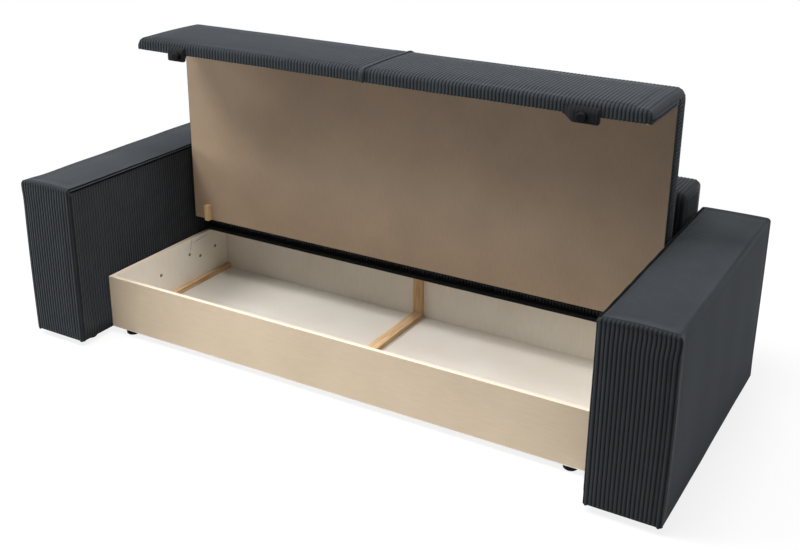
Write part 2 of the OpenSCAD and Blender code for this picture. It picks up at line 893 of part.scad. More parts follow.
mirror([1, 0, 0]) arm_pad();  // arm_left_pad
mirror([1, 0, 0]) arm_front_pad();  // arm_left_front_pad
mirror([1, 0, 0]) arm_side_panels();  // arm_left_side_panels
mirror([1, 0, 0]) arm_end_boards();  // arm_left_end_boards
mirror([1, 0, 0]) arm_top_board();  // arm_left_top_board
mirror([1, 0, 0]) arm_foot_rails();  // arm_left_foot_rails
mirror([1, 0, 0]) arm_dust_cloth();  // arm_left_dust_cloth
mirror([1, 0, 0]) arm_feet();  // arm_left_feet
arm_pad();  // arm_right_pad
arm_front_pad();  // arm_right_front_pad
arm_side_panels();  // arm_right_side_panels
arm_end_boards();  // arm_right_end_boards
arm_top_board();  // arm_right_top_board
arm_foot_rails();  // arm_right_foot_rails
arm_dust_cloth();  // arm_right_dust_cloth
arm_feet();  // arm_right_feet
box_front_board();
box_rear_board();
mirror([1, 0, 0]) box_side();  // box_side_left
box_side();  // box_side_right
box_floor(-arm_x, batten_x);  // box_floor_left
box_floor(batten_x, arm_x);  // box_floor_right
box_side_battens();
box_centre_batten();
box_rear_cleat();
box_feet();
arm_bolts();
arm_bolt_nuts();
rear_cross_rail();
rear_bolster();
back_pad();
back_front_panel();
back_rear_panel();
back_top_board();
back_uprights();
back_foot_rails();
back_dust_cloth();
back_feet();
arm_pivot_plates();
pivot_pins();
pivot_nuts();
arm_plate_screws();
seat_underboard();
seat_long_rails();
seat_cross_rails();
seat_deck();
pivot_blocks();
seat_rest_battens();
apron_board();
apron_foot_pads();
apron_feet();
lifted() mirror([1, 0, 0]) seat_pad();  // seat_pad_left
lifted() seat_pad();  // seat_pad_right
seat_welt();
seat_pivot_plates();
seat_plate_screws();
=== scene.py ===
"""Upholstery, boards and small details of a storage sofa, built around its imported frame.

The rest state is the photographed one: the seat stands on its rear edge and the storage box is
open. Lengths are metres in the frame's own axes, +X along the sofa, +Y to its back, +Z up. Each
padded cover is a lofted skin that a cloth simulation swells, with the corduroy's ribs worked out
on the swollen form.
"""

from __future__ import annotations

import logging
import math
from dataclasses import dataclass, field
from enum import Enum
from typing import Callable, Sequence

import bmesh
import bpy
import numpy as np
from mathutils import Matrix

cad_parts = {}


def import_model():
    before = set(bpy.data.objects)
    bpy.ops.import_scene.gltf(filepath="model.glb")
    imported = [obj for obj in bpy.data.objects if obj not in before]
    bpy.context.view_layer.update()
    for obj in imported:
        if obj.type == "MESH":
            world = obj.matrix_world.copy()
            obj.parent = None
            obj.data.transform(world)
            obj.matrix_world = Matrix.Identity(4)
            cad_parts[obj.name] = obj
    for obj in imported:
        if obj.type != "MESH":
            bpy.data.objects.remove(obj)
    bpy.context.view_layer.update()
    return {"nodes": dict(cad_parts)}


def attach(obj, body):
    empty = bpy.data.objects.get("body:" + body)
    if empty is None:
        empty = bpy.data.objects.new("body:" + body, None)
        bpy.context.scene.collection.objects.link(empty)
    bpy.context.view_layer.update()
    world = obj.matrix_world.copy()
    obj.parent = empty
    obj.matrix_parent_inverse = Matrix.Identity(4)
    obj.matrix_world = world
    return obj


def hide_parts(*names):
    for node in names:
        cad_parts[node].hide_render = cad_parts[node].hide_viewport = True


Array = np.ndarray
Tree = bpy.types.NodeTree
Node = bpy.types.Node
Pair = tuple[float, float]
Point = tuple[float, float, float]
Stretch = Callable[[Array], tuple[Array, Array]]
LOG = logging.getLogger("sofa")
MM = 0.001
TINY = 1e-12
WHITE = (1.0, 1.0, 1.0, 1.0)
SHARP_ANGLE = math.radians(50)


# --- Sizes shared with the part's source --------------------------------------------------


@dataclass(frozen=True)
class Plan:
    """Main sizes of the sofa, as the part's source has them. Seat places are of the closed seat."""

    arm_x: float = 1.000
    arm_w: float = 0.240
    front_y: float = -0.530
    rear_y: float = 0.530
    foot_h: float = 0.025
    arm_top: float = 0.621
    arm_front_t: float = 0.016
    arm_cavity_top: float = 0.599
    arm_cavity_side: float = 0.010
    box_inner_x: float = 0.984
    box_end: float = 0.338
    box_top: float = 0.236
    rail_y: float = 0.215
    rail_top: float = 0.254
    bolster_y: float = 0.235
    bolster_top: float = 0.284
    back_y: float = 0.315
    back_top: float = 0.725
    back_half_w: float = 0.989
    back_frame_x: float = 0.979
    back_cavity_top: float = 0.699
    cover_t: float = 0.006
    seat_half_w: float = 0.989
    seat_end: float = 0.230
    seat_under: float = 0.300
    seat_top: float = 0.400
    seat_deck: float = 0.346
    sheet_t: float = 0.003
    wrap_t: float = 0.004
    apron_in_y: float = -0.525
    apron_y: float = -0.571
    apron_board_t: float = 0.016
    lip_z: float = 0.033
    apron_foot_x: float = 0.781
    pivot_y: float = 0.1925
    pivot_z: float = 0.3575
    welt_w: float = 0.013


PLAN = Plan()
BOX_EDGE = PLAN.box_top - MM / 2


class Side(Enum):
    """The two mirrored sides of the sofa."""

    LEFT = -1
    RIGHT = 1

    @property
    def word(self) -> str:
        """The side's name as the part's nodes spell it."""
        return self.name.lower()


class Body(Enum):
    """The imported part's two rigid bodies."""

    FRAME = "sofa_frame"
    SEAT = "seat"


# --- Finishes -------------------------------------------------------------------------------


def linear(code: str) -> tuple[float, float, float, float]:
    """Turns an sRGB hex colour into linear light.

    Args:
        code: Colour as "#rrggbb".

    Returns:
        Linear red, green and blue, and an alpha of 1.
    """
    parts = [int(code[i : i + 2], 16) / 255 for i in (1, 3, 5)]
    red, green, blue = (p / 12.92 if p <= 0.04045 else ((p + 0.055) / 1.055) ** 2.4 for p in parts)
    return (red, green, blue, 1.0)


def per_mm(size: float) -> float:
    """Texture scale at which one cell or blob of a pattern is so many millimetres wide."""
    return 1 / (size * MM)


def feed(tree: Tree, node: Node, links: dict) -> None:
    """Gives sockets of a node their values, or links them from other nodes.

    Args:
        tree: Node tree that holds the node.
        node: The node.
        links: Socket name or number to a value, or to an output socket to link from.
    """
    for key, value in links.items():
        if isinstance(value, bpy.types.NodeSocket):
            tree.links.new(value, node.inputs[key])
        else:
            node.inputs[key].default_value = value


def add(tree: Tree, kind: str, links: dict | None = None, **settings: object) -> Node:
    """Adds one node with its settings, its socket values and its links.

    Args:
        tree: Node tree that takes the node.
        kind: Blender's type name of the node.
        links: What its sockets are fed with.
        **settings: Properties of the node itself.

    Returns:
        The new node.
    """
    made = tree.nodes.new(kind)
    for name, value in settings.items():
        setattr(made, name, value)
    feed(tree, made, links or {})
    return made


@dataclass(frozen=True)
class Finish:
    """Base of every finish: its name and how its material is started."""

    name: str

    def build(self) -> bpy.types.Material:
        """Makes the material, then lets the finish dress its Principled shader.

        Returns:
            The material.
        """
        material = bpy.data.materials.new(self.name)
        material.use_nodes = True
        self.dress(material.node_tree, material.node_tree.nodes["Principled BSDF"])
        return material

    def dress(self, tree: Tree, shader: Node) -> None:
        """Adds the finish's own nodes to the tree and sets the shader's values."""


@dataclass(frozen=True)
class Corduroy(Finish):
    """Polyester corduroy, woven with a pile that is cut into wide ribs.

    Ridges catch the light, grooves stay dark, and the pile gives a pale sheen at grazing angles.
    The groove colour is partly the cloth's ground and partly painted shade in grooves too narrow
    to cast it, and the ridge's late rise in tone is a painted highlight on the pile's tips.
    The ribs are in the meshes, which carry a "wale" attribute of 0 in a groove and 1 on a ridge;
    between them the cloth is mottled where its pile lies in different directions.
    """

    groove: str = "#0a0b0c"
    ridge: str = "#2a2e32"
    stroked: str = "#313539"
    painted_highlight_power: float = 1.6
    patch_mm: float = 60.0
    patch_range: Pair = (0.45, 0.75)
    patch_share: float = 0.3
    tuft_mm: float = 2.2
    tuft_range: Pair = (0.3, 0.7)
    tuft_tone: Pair = (0.82, 1.12)
    tuft_height: float = 0.6 * MM
    tuft_strength: float = 0.7
    roughness: float = 0.9
    gloss: float = 0.15
    sheen: float = 0.35
    sheen_roughness: float = 0.4
    sheen_tint: str = "#9aa0a6"

    def dress(self, tree: Tree, shader: Node) -> None:
        """Adds rib shading, patches of stroked pile, tuft grain and sheen.

        Args:
            tree: The material's node tree.
            shader: Its Principled shader.
        """
        place = add(tree, "ShaderNodeTexCoord").outputs["Object"]
        wale = add(tree, "ShaderNodeAttribute", attribute_name="wale").outputs["Fac"]
        patch = add(tree, "ShaderNodeTexNoise",
                    {"Vector": place, "Scale": per_mm(self.patch_mm), "Detail": 3.0}).outputs["Fac"]
        # Tufts are about 0.3 mm on the real cloth, too fine to show: drawn 2.2 mm wide.
        tuft = add(tree, "ShaderNodeTexNoise",
                   {"Vector": place, "Scale": per_mm(self.tuft_mm), "Detail": 2.0}).outputs["Fac"]
        # Painted highlight: only the pile's tips catch the light, so the tone rises late from groove to
        # ridge.
        painted_highlight_power = add(tree, "ShaderNodeMath", {0: wale, 1: self.painted_highlight_power}, operation="POWER").outputs[0]
        # Painted shade: the groove colour is partly the cloth's ground and partly shade the narrow grooves
        # can't cast.
        rib = add(tree, "ShaderNodeMix", {"Factor": painted_highlight_power, "A": linear(self.groove), "B": linear(self.ridge)},
                  data_type="RGBA")
        low, high = self.patch_range
        lie = add(tree, "ShaderNodeMapRange",
                  {"Value": patch, "From Min": low, "From Max": high, "To Max": self.patch_share})
        rubbed = add(tree, "ShaderNodeMath", {0: lie.outputs["Result"], 1: wale}, operation="MULTIPLY")
        pile = add(tree, "ShaderNodeMix", {"Factor": rubbed.outputs[0], "A": rib.outputs[2],
                                           "B": linear(self.stroked)}, data_type="RGBA")
        (low, high), (dark, pale) = self.tuft_range, self.tuft_tone
        shade = add(tree, "ShaderNodeMapRange",
                    {"Value": tuft, "From Min": low, "From Max": high, "To Min": dark, "To Max": pale})
        colour = add(tree, "ShaderNodeVectorMath", {0: pile.outputs[2], "Scale": shade.outputs["Result"]},
                     operation="SCALE")
        rough = add(tree, "ShaderNodeBump",
                    {"Height": tuft, "Distance": self.tuft_height, "Strength": self.tuft_strength})
        feed(tree, shader, {"Base Color": colour.outputs[0], "Normal": rough.outputs["Normal"],
                            "Roughness": self.roughness, "Specular IOR Level": self.gloss,
                            "Sheen Weight": self.sheen, "Sheen Roughness": self.sheen_roughness,
                            "Sheen Tint": linear(self.sheen_tint)})


@dataclass(frozen=True)
class FoilBoard(Finish):
    """Particle board or hardboard faced with printed paper foil, sawn to size.

    The foil is matt and nearly even, with a faint fleck drawn out along its grain. Sawn edges are
    paler and coarser: what lies above the height edge_from is such an edge. Each fade is an axis,
    two places on it and the share of the tone that the foil keeps at each. Every fade is painted
    light and shade: on the box's rear wall and floor they even out the raised seat's shade, as the
    photograph has it, and on the seat's boards they darken the top under the apron and lighten the
    left end and the lower part.
    """

    face: str
    deep: str
    cut: str = "#ded0c1"
    cut_deep: str = "#d3c1ae"
    edge_from: float = 9.0
    fleck_mm: float = 5.0
    fleck_share: float = 0.6
    cloud_mm: float = 240.0
    tone_range: Pair = (0.55, 1.05)
    chip_mm: float = 4.0
    grain: Point = (1.0, 1.0, 0.12)
    painted_light_fades: tuple[tuple[str, float, float, float, float], ...] = ()
    tooth: float = 0.1 * MM
    tooth_strength: float = 0.5
    roughness: float = 0.6
    gloss: float = 0.3

    def dress(self, tree: Tree, shader: Node) -> None:
        """Adds foil fleck, slow clouds, pale sawn edges and a faint tooth.

        Args:
            tree: The material's node tree.
            shader: Its Principled shader.
        """
        place = add(tree, "ShaderNodeTexCoord").outputs["Object"]
        drawn = add(tree, "ShaderNodeMapping", {"Vector": place, "Scale": self.grain}).outputs["Vector"]
        # The foil's fleck is about 0.5 mm wide, too fine to show: drawn 5 mm wide and 40 mm long.
        fleck = add(tree, "ShaderNodeTexNoise",
                    {"Vector": drawn, "Scale": per_mm(self.fleck_mm), "Detail": 4.0}).outputs["Fac"]
        cloud = add(tree, "ShaderNodeTexNoise",
                    {"Vector": place, "Scale": per_mm(self.cloud_mm), "Detail": 2.0}).outputs["Fac"]
        mixed = add(tree, "ShaderNodeMath", {0: fleck, 1: self.fleck_share, 2: cloud},
                    operation="MULTIPLY_ADD").outputs[0]
        low, high = self.tone_range
        share = add(tree, "ShaderNodeMapRange", {"Value": mixed, "From Min": low, "From Max": high})
        foil = add(tree, "ShaderNodeMix", {"Factor": share.outputs["Result"], "A": linear(self.deep),
                                           "B": linear(self.face)}, data_type="RGBA")
        chip = add(tree, "ShaderNodeTexVoronoi", {"Vector": place, "Scale": per_mm(self.chip_mm)})
        sawn = add(tree, "ShaderNodeMix", {"Factor": chip.outputs["Distance"], "A": linear(self.cut),
                                           "B": linear(self.cut_deep)}, data_type="RGBA")
        where, tone = add(tree, "ShaderNodeSeparateXYZ", {0: place}).outputs, foil.outputs[2]
        # Painted light and shade: each fade scales the foil's tone between two places along one axis.
        for axis, start, stop, first, last in self.painted_light_fades:
            reach = {"From Min": start, "From Max": stop, "To Min": first, "To Max": last}
            fade = add(tree, "ShaderNodeMapRange", {"Value": where[axis], **reach},
                       interpolation_type="SMOOTHSTEP")
            tone = add(tree, "ShaderNodeVectorMath", {0: tone, "Scale": fade.outputs["Result"]},
                       operation="SCALE").outputs[0]
        upper = add(tree, "ShaderNodeMath", {0: where["Z"], 1: self.edge_from}, operation="GREATER_THAN")
        colour = add(tree, "ShaderNodeMix", {"Factor": upper.outputs[0], "A": tone, "B": sawn.outputs[2]},
                     data_type="RGBA")
        tooth = add(tree, "ShaderNodeBump",
                    {"Height": fleck, "Distance": self.tooth, "Strength": self.tooth_strength})
        feed(tree, shader, {"Base Color": colour.outputs[2], "Normal": tooth.outputs["Normal"],
                            "Roughness": self.roughness, "Specular IOR Level": self.gloss})


@dataclass(frozen=True)
class PlanedPine(Finish):
    """Planed, unfinished pine.

    Pale earlywood with darker growth rings, drawn out along the stick, and a dull surface.
    """

    along: int
    light: str = "#dcbd97"
    dark: str = "#bd9769"
    ring_mm: float = 5.0
    fibre_mm: float = 1.4
    fibre_share: float = 0.35
    tone_range: Pair = (0.5, 0.85)
    stretch: float = 0.05
    tooth: float = 0.2 * MM
    tooth_strength: float = 0.6
    roughness: float = 0.68
    gloss: float = 0.3

    def dress(self, tree: Tree, shader: Node) -> None:
        """Adds growth rings and fibres that run along the stick.

        Args:
            tree: The material's node tree.
            shader: Its Principled shader.
        """
        place = add(tree, "ShaderNodeTexCoord").outputs["Object"]
        stretch = [self.stretch if axis == self.along else 1.0 for axis in range(3)]
        drawn = add(tree, "ShaderNodeMapping", {"Vector": place, "Scale": stretch}).outputs["Vector"]
        rings = add(tree, "ShaderNodeTexNoise",
                    {"Vector": drawn, "Scale": per_mm(self.ring_mm), "Detail": 4.0}).outputs["Fac"]
        fibre = add(tree, "ShaderNodeTexNoise",
                    {"Vector": drawn, "Scale": per_mm(self.fibre_mm), "Detail": 2.0}).outputs["Fac"]
        mixed = add(tree, "ShaderNodeMath", {0: fibre, 1: self.fibre_share, 2: rings},
                    operation="MULTIPLY_ADD").outputs[0]
        low, high = self.tone_range
        share = add(tree, "ShaderNodeMapRange", {"Value": mixed, "From Min": low, "From Max": high})
        wood = add(tree, "ShaderNodeMix", {"Factor": share.outputs["Result"], "A": linear(self.dark),
                                           "B": linear(self.light)}, data_type="RGBA")
        tooth = add(tree, "ShaderNodeBump",
                    {"Height": fibre, "Distance": self.tooth, "Strength": self.tooth_strength})
        feed(tree, shader, {"Base Color": wood.outputs[2], "Normal": tooth.outputs["Normal"],
                            "Roughness": self.roughness, "Specular IOR Level": self.gloss})


@dataclass(frozen=True)
class MouldedPolypropylene(Finish):
    """Injection-moulded polypropylene: nearly black and dull, with a fine spark-eroded grain."""

    colour: str = "#030404"
    worn: str = "#090a0b"
    grain_mm: float = 1.0
    dimple: float = 0.08 * MM
    dimple_strength: float = 0.7
    roughness: float = 0.55
    ior: float = 1.49
    gloss: float = 0.08

    def dress(self, tree: Tree, shader: Node) -> None:
        """Adds the mould's grain.

        Args:
            tree: The material's node tree.
            shader: Its Principled shader.
        """
        place = add(tree, "ShaderNodeTexCoord").outputs["Object"]
        grain = add(tree, "ShaderNodeTexNoise",
                    {"Vector": place, "Scale": per_mm(self.grain_mm), "Detail": 2.0}).outputs["Fac"]
        colour = add(tree, "ShaderNodeMix", {"Factor": grain, "A": linear(self.colour),
                                             "B": linear(self.worn)}, data_type="RGBA")
        dimple = add(tree, "ShaderNodeBump",
                     {"Height": grain, "Distance": self.dimple, "Strength": self.dimple_strength})
        feed(tree, shader, {"Base Color": colour.outputs[2], "Normal": dimple.outputs["Normal"],
                            "Roughness": self.roughness, "IOR": self.ior,
                            "Specular IOR Level": self.gloss})


@dataclass(frozen=True)
class ZincPlatedSteel(Finish):
    """Pressed steel, plated with zinc and passivated: grey with a satin, slightly cloudy shine."""

    light: str = "#8f9193"
    dark: str = "#5d6062"
    cloud_mm: float = 3.0
    roughness: Pair = (0.3, 0.5)

    def dress(self, tree: Tree, shader: Node) -> None:
        """Adds cloudy colour and roughness.

        Args:
            tree: The material's node tree.
            shader: Its Principled shader.
        """
        place = add(tree, "ShaderNodeTexCoord").outputs["Object"]
        cloud = add(tree, "ShaderNodeTexNoise",
                    {"Vector": place, "Scale": per_mm(self.cloud_mm), "Detail": 3.0}).outputs["Fac"]
        colour = add(tree, "ShaderNodeMix", {"Factor": cloud, "A": linear(self.dark),
                                             "B": linear(self.light)}, data_type="RGBA")
        low, high = self.roughness
        rough = add(tree, "ShaderNodeMapRange", {"Value": cloud, "To Min": low, "To Max": high})
        feed(tree, shader, {"Base Color": colour.outputs[2], "Roughness": rough.outputs["Result"],
                            "Metallic": 1.0})


@dataclass(frozen=True)
class SpunbondCloth(Finish):
    """Spunbonded polypropylene dust cloth: thin and black, with a pressed grid of bond dots."""

    bond: str = "#0b0b0c"
    fleece: str = "#1b1c1e"
    dot_mm: float = 4.0
    unevenness: float = 0.15
    press: float = 0.2 * MM
    roughness: float = 0.9

    def dress(self, tree: Tree, shader: Node) -> None:
        """Adds the bond dots.

        Args:
            tree: The material's node tree.
            shader: Its Principled shader.
        """
        place = add(tree, "ShaderNodeTexCoord").outputs["Object"]
        # Bond dots are 1 mm apart on the real cloth, too fine to show: drawn 4 mm apart.
        dots = add(tree, "ShaderNodeTexVoronoi", {"Vector": place, "Scale": per_mm(self.dot_mm),
                                                  "Randomness": self.unevenness}).outputs["Distance"]
        colour = add(tree, "ShaderNodeMix", {"Factor": dots, "A": linear(self.bond),
                                             "B": linear(self.fleece)}, data_type="RGBA")
        press = add(tree, "ShaderNodeBump", {"Height": dots, "Distance": self.press})
        feed(tree, shader, {"Base Color": colour.outputs[2], "Normal": press.outputs["Normal"],
                            "Roughness": self.roughness})


@dataclass(frozen=True)
class Graphite(Finish):
    """Carpenter's pencil rubbed on foil: a soft grey line that the foil's tooth breaks up."""

    dark: str = "#5c5249"
    pale: str = "#85796c"
    tooth_mm: float = 2.0
    roughness: float = 0.55

    def dress(self, tree: Tree, shader: Node) -> None:
        """Adds the broken tone.

        Args:
            tree: The material's node tree.
            shader: Its Principled shader.
        """
        place = add(tree, "ShaderNodeTexCoord").outputs["Object"]
        skip = add(tree, "ShaderNodeTexNoise",
                   {"Vector": place, "Scale": per_mm(self.tooth_mm), "Detail": 2.0}).outputs["Fac"]
        colour = add(tree, "ShaderNodeMix", {"Factor": skip, "A": linear(self.dark), "B": linear(self.pale)},
                     data_type="RGBA")
        feed(tree, shader, {"Base Color": colour.outputs[2], "Roughness": self.roughness})


@dataclass(frozen=True)
class StudioPaper(Finish):
    """Seamless white paper: takes the object's soft shadow, and is plain white further out."""

    dark: str = "#f4f4f4"
    pale: str = "#fafafa"
    fibre_mm: float = 30.0
    shadow_share: float = 0.16
    near: float = 1.5
    far: float = 2.6

    def dress(self, tree: Tree, shader: Node) -> None:
        """Mixes lit paper with plain white, which camera, glossy and transmission rays see.

        Args:
            tree: The material's node tree.
            shader: Its Principled shader.
        """
        place = add(tree, "ShaderNodeTexCoord").outputs["Object"]
        # Paper fibres are under 1 mm long, too fine to show: drawn as clouds 30 mm wide.
        fibre = add(tree, "ShaderNodeTexNoise",
                    {"Vector": place, "Scale": per_mm(self.fibre_mm)}).outputs["Fac"]
        paper = add(tree, "ShaderNodeMix", {"Factor": fibre, "A": linear(self.dark), "B": linear(self.pale)},
                    data_type="RGBA")
        feed(tree, shader, {"Base Color": paper.outputs[2], "Roughness": 1.0, "Specular IOR Level": 0.0})
        reach = add(tree, "ShaderNodeVectorMath", {0: place}, operation="LENGTH")
        keep = add(tree, "ShaderNodeMapRange", {"Value": reach.outputs["Value"], "From Min": self.near,
                                                "From Max": self.far, "To Min": 1 - self.shadow_share})
        seen = white_rays(tree)
        share = add(tree, "ShaderNodeMath", {0: seen, 1: keep.outputs["Result"]}, operation="MULTIPLY")
        white = add(tree, "ShaderNodeEmission", {"Color": WHITE, "Strength": 1.0}).outputs[0]
        mix = add(tree, "ShaderNodeMixShader", {0: share.outputs[0], 1: shader.outputs[0], 2: white})
        feed(tree, tree.nodes["Material Output"], {"Surface": mix.outputs[0]})


def white_rays(tree: Tree) -> bpy.types.NodeSocket:
    """Socket that is 1 for the rays that see plain white: camera, glossy and transmission rays.

    Args:
        tree: Node tree of the studio's paper or world.

    Returns:
        The socket.
    """
    rays = add(tree, "ShaderNodeLightPath").outputs
    seen = rays["Is Camera Ray"]
    for kind in ("Is Glossy Ray", "Is Transmission Ray"):
        seen = add(tree, "ShaderNodeMath", {0: seen, 1: rays[kind]}, operation="MAXIMUM").outputs[0]
    return seen


class Palette(Enum):
    """Every finish of the sofa and its studio. Each material is built at its first use."""

    CORDUROY = Corduroy("woven_corduroy_slate")
    FLAT_CLOTH = Corduroy("woven_flat_cloth_slate", "#0c0e0f", "#191c1f", "#1f2225", sheen=0.1)
    # Painted light: a paler copy of the corduroy, for the bolster that lies in the raised seat's deep shade.
    PAINTED_LIGHT_CORDUROY = Corduroy("woven_corduroy_slate_painted_light", "#17191b", "#4c5359", "#565d63")
    # Painted shade: a copy of the corduroy with a near-black groove colour and little sheen, for the shade of
    # the stitch lines on the arms' edge seams.
    STITCHED_SEAM_PAINTED_SHADE = Corduroy("stitched_seam_slate_painted_shade", "#040405", "#30353a", "#363b40", gloss=0.05, sheen=0.08)
    FRONT_BOARD = FoilBoard("foil_faced_board_beige", "#c0af98", "#b6a58e", edge_from=BOX_EDGE,
                            grain=(0.12, 1.0, 1.0))
    # Painted light: a paler copy of the ivory foil of the rear wall and floor, which lights the box's end
    # boards.
    PALE_BOARD = FoilBoard("foil_faced_board_ivory", "#f6f1e7", "#eee7da", edge_from=BOX_EDGE)
    # Painted light: the rear wall is lightened towards the right.
    PALE_WALL = FoilBoard("foil_faced_board_ivory_rear", "#ebe7df", "#e2dcd1", edge_from=BOX_EDGE,
                          painted_light_fades=(("X", -0.8, 0.4, 0.96, 1.15),))
    # Painted light and shade: the floor is darkened at its front and lightened at its rear and right, evening
    # out the raised seat's shade.
    PALE_FLOOR = FoilBoard("foil_faced_board_ivory_floor", "#ebe5db", "#e2dacd",
                           painted_light_fades=(("Y", 0.05, 0.3, 0.78, 1.08), ("X", -0.2, 0.9, 1.0, 1.1)))
    # Painted light and shade: the seat's boards are lightened at the left end and lower part and darkened at
    # the top, under the apron's shade.
    SEAT_BOARD = FoilBoard("foil_faced_hardboard_tan", "#8b7965", "#806f5d",
                           painted_light_fades=(("X", -0.98, -0.4, 1.35, 1.0), ("Z", 0.3, 1.05, 1.2, 0.78)))
    RAW_BOARD = FoilBoard("pressed_particle_board", "#c9b395", "#b39b7b", fleck_mm=9.0, grain=(1.0, 1.0, 1.0))
    PINE_X = PlanedPine("planed_pine_along_x", 0)
    PINE_Y = PlanedPine("planed_pine_along_y", 1)
    PINE_Z = PlanedPine("planed_pine_along_z", 2)
    PLASTIC = MouldedPolypropylene("moulded_polypropylene_black")
    ZINC = ZincPlatedSteel("zinc_plated_steel")
    DUST_CLOTH = SpunbondCloth("spunbonded_cloth_black")
    GRAPHITE = Graphite("rubbed_graphite")
    PAPER = StudioPaper("seamless_studio_paper")

    @property
    def material(self) -> bpy.types.Material:
        """The finish's material, made at its first use."""
        return bpy.data.materials.get(self.value.name) or self.value.build()


# --- Surfaces -------------------------------------------------------------------------------


@dataclass(frozen=True)
class Wale:
    """The cloth's ribs: their pitch, their depth and the places where a rib is sampled."""

    pitch: float = 12.7 * MM
    depth: float = 2.8 * MM
    mean: float = 0.8
    bow: float = 2.4
    gap: float = 0.4 * MM
    shares: tuple[float, ...] = (0.0, 0.08, 0.25, 0.5, 0.75, 0.92)

    def places(self, low: float, high: float, groove: float, extra: Sequence[float] = ()) -> Array:
        """Places along the cloth that hold every groove and ridge.

        Args:
            low: First place.
            high: Last place.
            groove: Place of one groove.
            extra: Further places to keep.

        Returns:
            Places in rising order, none closer to the next than the gap.
        """
        first, last = math.floor((low - groove) / self.pitch), math.ceil((high - groove) / self.pitch)
        grid = (groove + self.pitch * (np.arange(first, last + 1)[:, None] + np.array(self.shares))).ravel()
        kept = np.array(sorted([low, high, *extra]))
        inside = grid[(grid > low + self.gap) & (grid < high - self.gap)]
        clear = np.abs(inside[:, None] - kept).min(1) > self.gap
        return np.sort(np.concatenate([inside[clear], kept]))

    def share(self, place: Array, groove: float) -> Array:
        """Height of the ribs: one less the bow-th power of the distance from the ridge.

        Args:
            place: Places along the cloth.
            groove: Place of one groove.

        Returns:
            0 in a groove and 1 on a ridge.
        """
        return 1.0 - np.abs(2.0 * np.mod((place - groove) / self.pitch, 1.0) - 1.0) ** self.bow


WALE = Wale()


@dataclass
class Run:
    """One stretch of a section: its formula, its fine and coarse point counts, its share as skin."""

    shape: Stretch
    fine: int
    coarse: int
    skin: float = 1.0


def line(a: tuple, b: tuple, swell: Array | float = 0.0, side: Pair = (0.0, 0.0)) -> Stretch:
    """A straight stretch from a to b, pushed to one side by half a sine wave.

    Args:
        a: First point, each coordinate a number or a column of stations.
        b: Last point.
        swell: Height of the half wave.
        side: Direction of the push.

    Returns:
        Function of the share along the stretch.
    """

    def shape(t: Array) -> tuple[Array, Array]:
        """Both coordinates at the shares t."""
        rise = swell * np.sin(np.pi * t)
        return a[0] + (b[0] - a[0]) * t + side[0] * rise, a[1] + (b[1] - a[1]) * t + side[1] * rise

    return shape


def turn(centre: tuple, radius: Array | float, start: float, stop: float) -> Stretch:
    """A circular stretch: the radius turned about the centre from one angle to the other.

    Args:
        centre: Centre, each coordinate a number or a column of stations.
        radius: Radius.
        start: First angle in degrees.
        stop: Last angle in degrees.

    Returns:
        Function of the share along the stretch.
    """

    def shape(t: Array) -> tuple[Array, Array]:
        """Both coordinates at the shares t."""
        angle = np.radians(start + (stop - start) * t)
        return centre[0] + radius * np.cos(angle), centre[1] + radius * np.sin(angle)

    return shape


def path(points: Sequence[tuple], skin: float = 0.0) -> list[Run]:
    """Straight stretches through points, the last of which starts whatever comes next."""
    return [Run(line(a, b), 1, 1, skin) for a, b in zip(points, points[1:])]


def ring(runs: Sequence[Run], stations: int, coarse: bool = False) -> tuple[Array, Array, Array]:
    """Samples a section's stretches into one closed ring per station.

    Args:
        runs: The section's stretches in order.
        stations: Number of stations.
        coarse: Whether the coarse counts are used.

    Returns:
        Points (stations, n, 2), skin share (n) and place along the ring (n).
    """
    counts = [run.coarse if coarse else run.fine for run in runs]
    shares = [(np.arange(count) / count)[None, :] for count in counts]
    planes = [
        np.stack([np.broadcast_to(c, (stations, t.shape[1])) for c in run.shape(t)], -1)
        for run, t in zip(runs, shares)
    ]
    places = np.concatenate([number + t[0] for number, t in enumerate(shares)])
    return np.concatenate(planes, 1), np.repeat([run.skin for run in runs], counts), places


def outward(points: Array) -> Array:
    """Unit normals of clockwise rings: the sum of both edges' directions, turned left.

    Args:
        points: Rings (stations, n, 2).

    Returns:
        Normals of the same shape.
    """
    edges = (np.roll(points, -1, 1) - points, points - np.roll(points, 1, 1))
    tangent = sum(edge / (np.linalg.norm(edge, axis=-1, keepdims=True) + TINY) for edge in edges)
    normal = np.stack([-tangent[..., 1], tangent[..., 0]], -1)
    return normal / (np.linalg.norm(normal, axis=-1, keepdims=True) + TINY)


def cubic(values: Array, old: Array, new: Array) -> Array:
    """Interpolates along the first axis by cubics whose end slopes are central differences.

    Args:
        values: Values at the old places.
        old: Old places in rising order.
        new: New places inside them.

    Returns:
        Values at the new places.
    """
    index = np.clip(np.searchsorted(old, new, side="right") - 1, 0, len(old) - 2)
    column = (-1,) + (1,) * (values.ndim - 1)
    step = (old[index + 1] - old[index]).reshape(column)
    t = np.clip((new - old[index]).reshape(column) / step, 0, 1)
    slope = np.gradient(values, old, axis=0)
    start = (2 * t**3 - 3 * t**2 + 1) * values[index] + (t**3 - 2 * t**2 + t) * step * slope[index]
    stop = (3 * t**2 - 2 * t**3) * values[index + 1] + (t**3 - t**2) * step * slope[index + 1]
    return start + stop


def rounding(distance: Array, radius: float) -> Array:
    """Inset of a skin near a rounded end: the radius less a circle's height over its chord.

    Args:
        distance: Distance from the end.
        radius: Radius of the rounding.

    Returns:
        Inset at each distance, 0 beyond the radius.
    """
    return radius - np.sqrt(np.maximum(radius**2 - np.clip(radius - distance, 0, radius) ** 2, 0))


def ease(value: Array) -> Array:
    """Smooth step from 0 to 1: three squares less two cubes of the value."""
    held = np.clip(value, 0, 1)
    return held**2 * (3 - 2 * held)


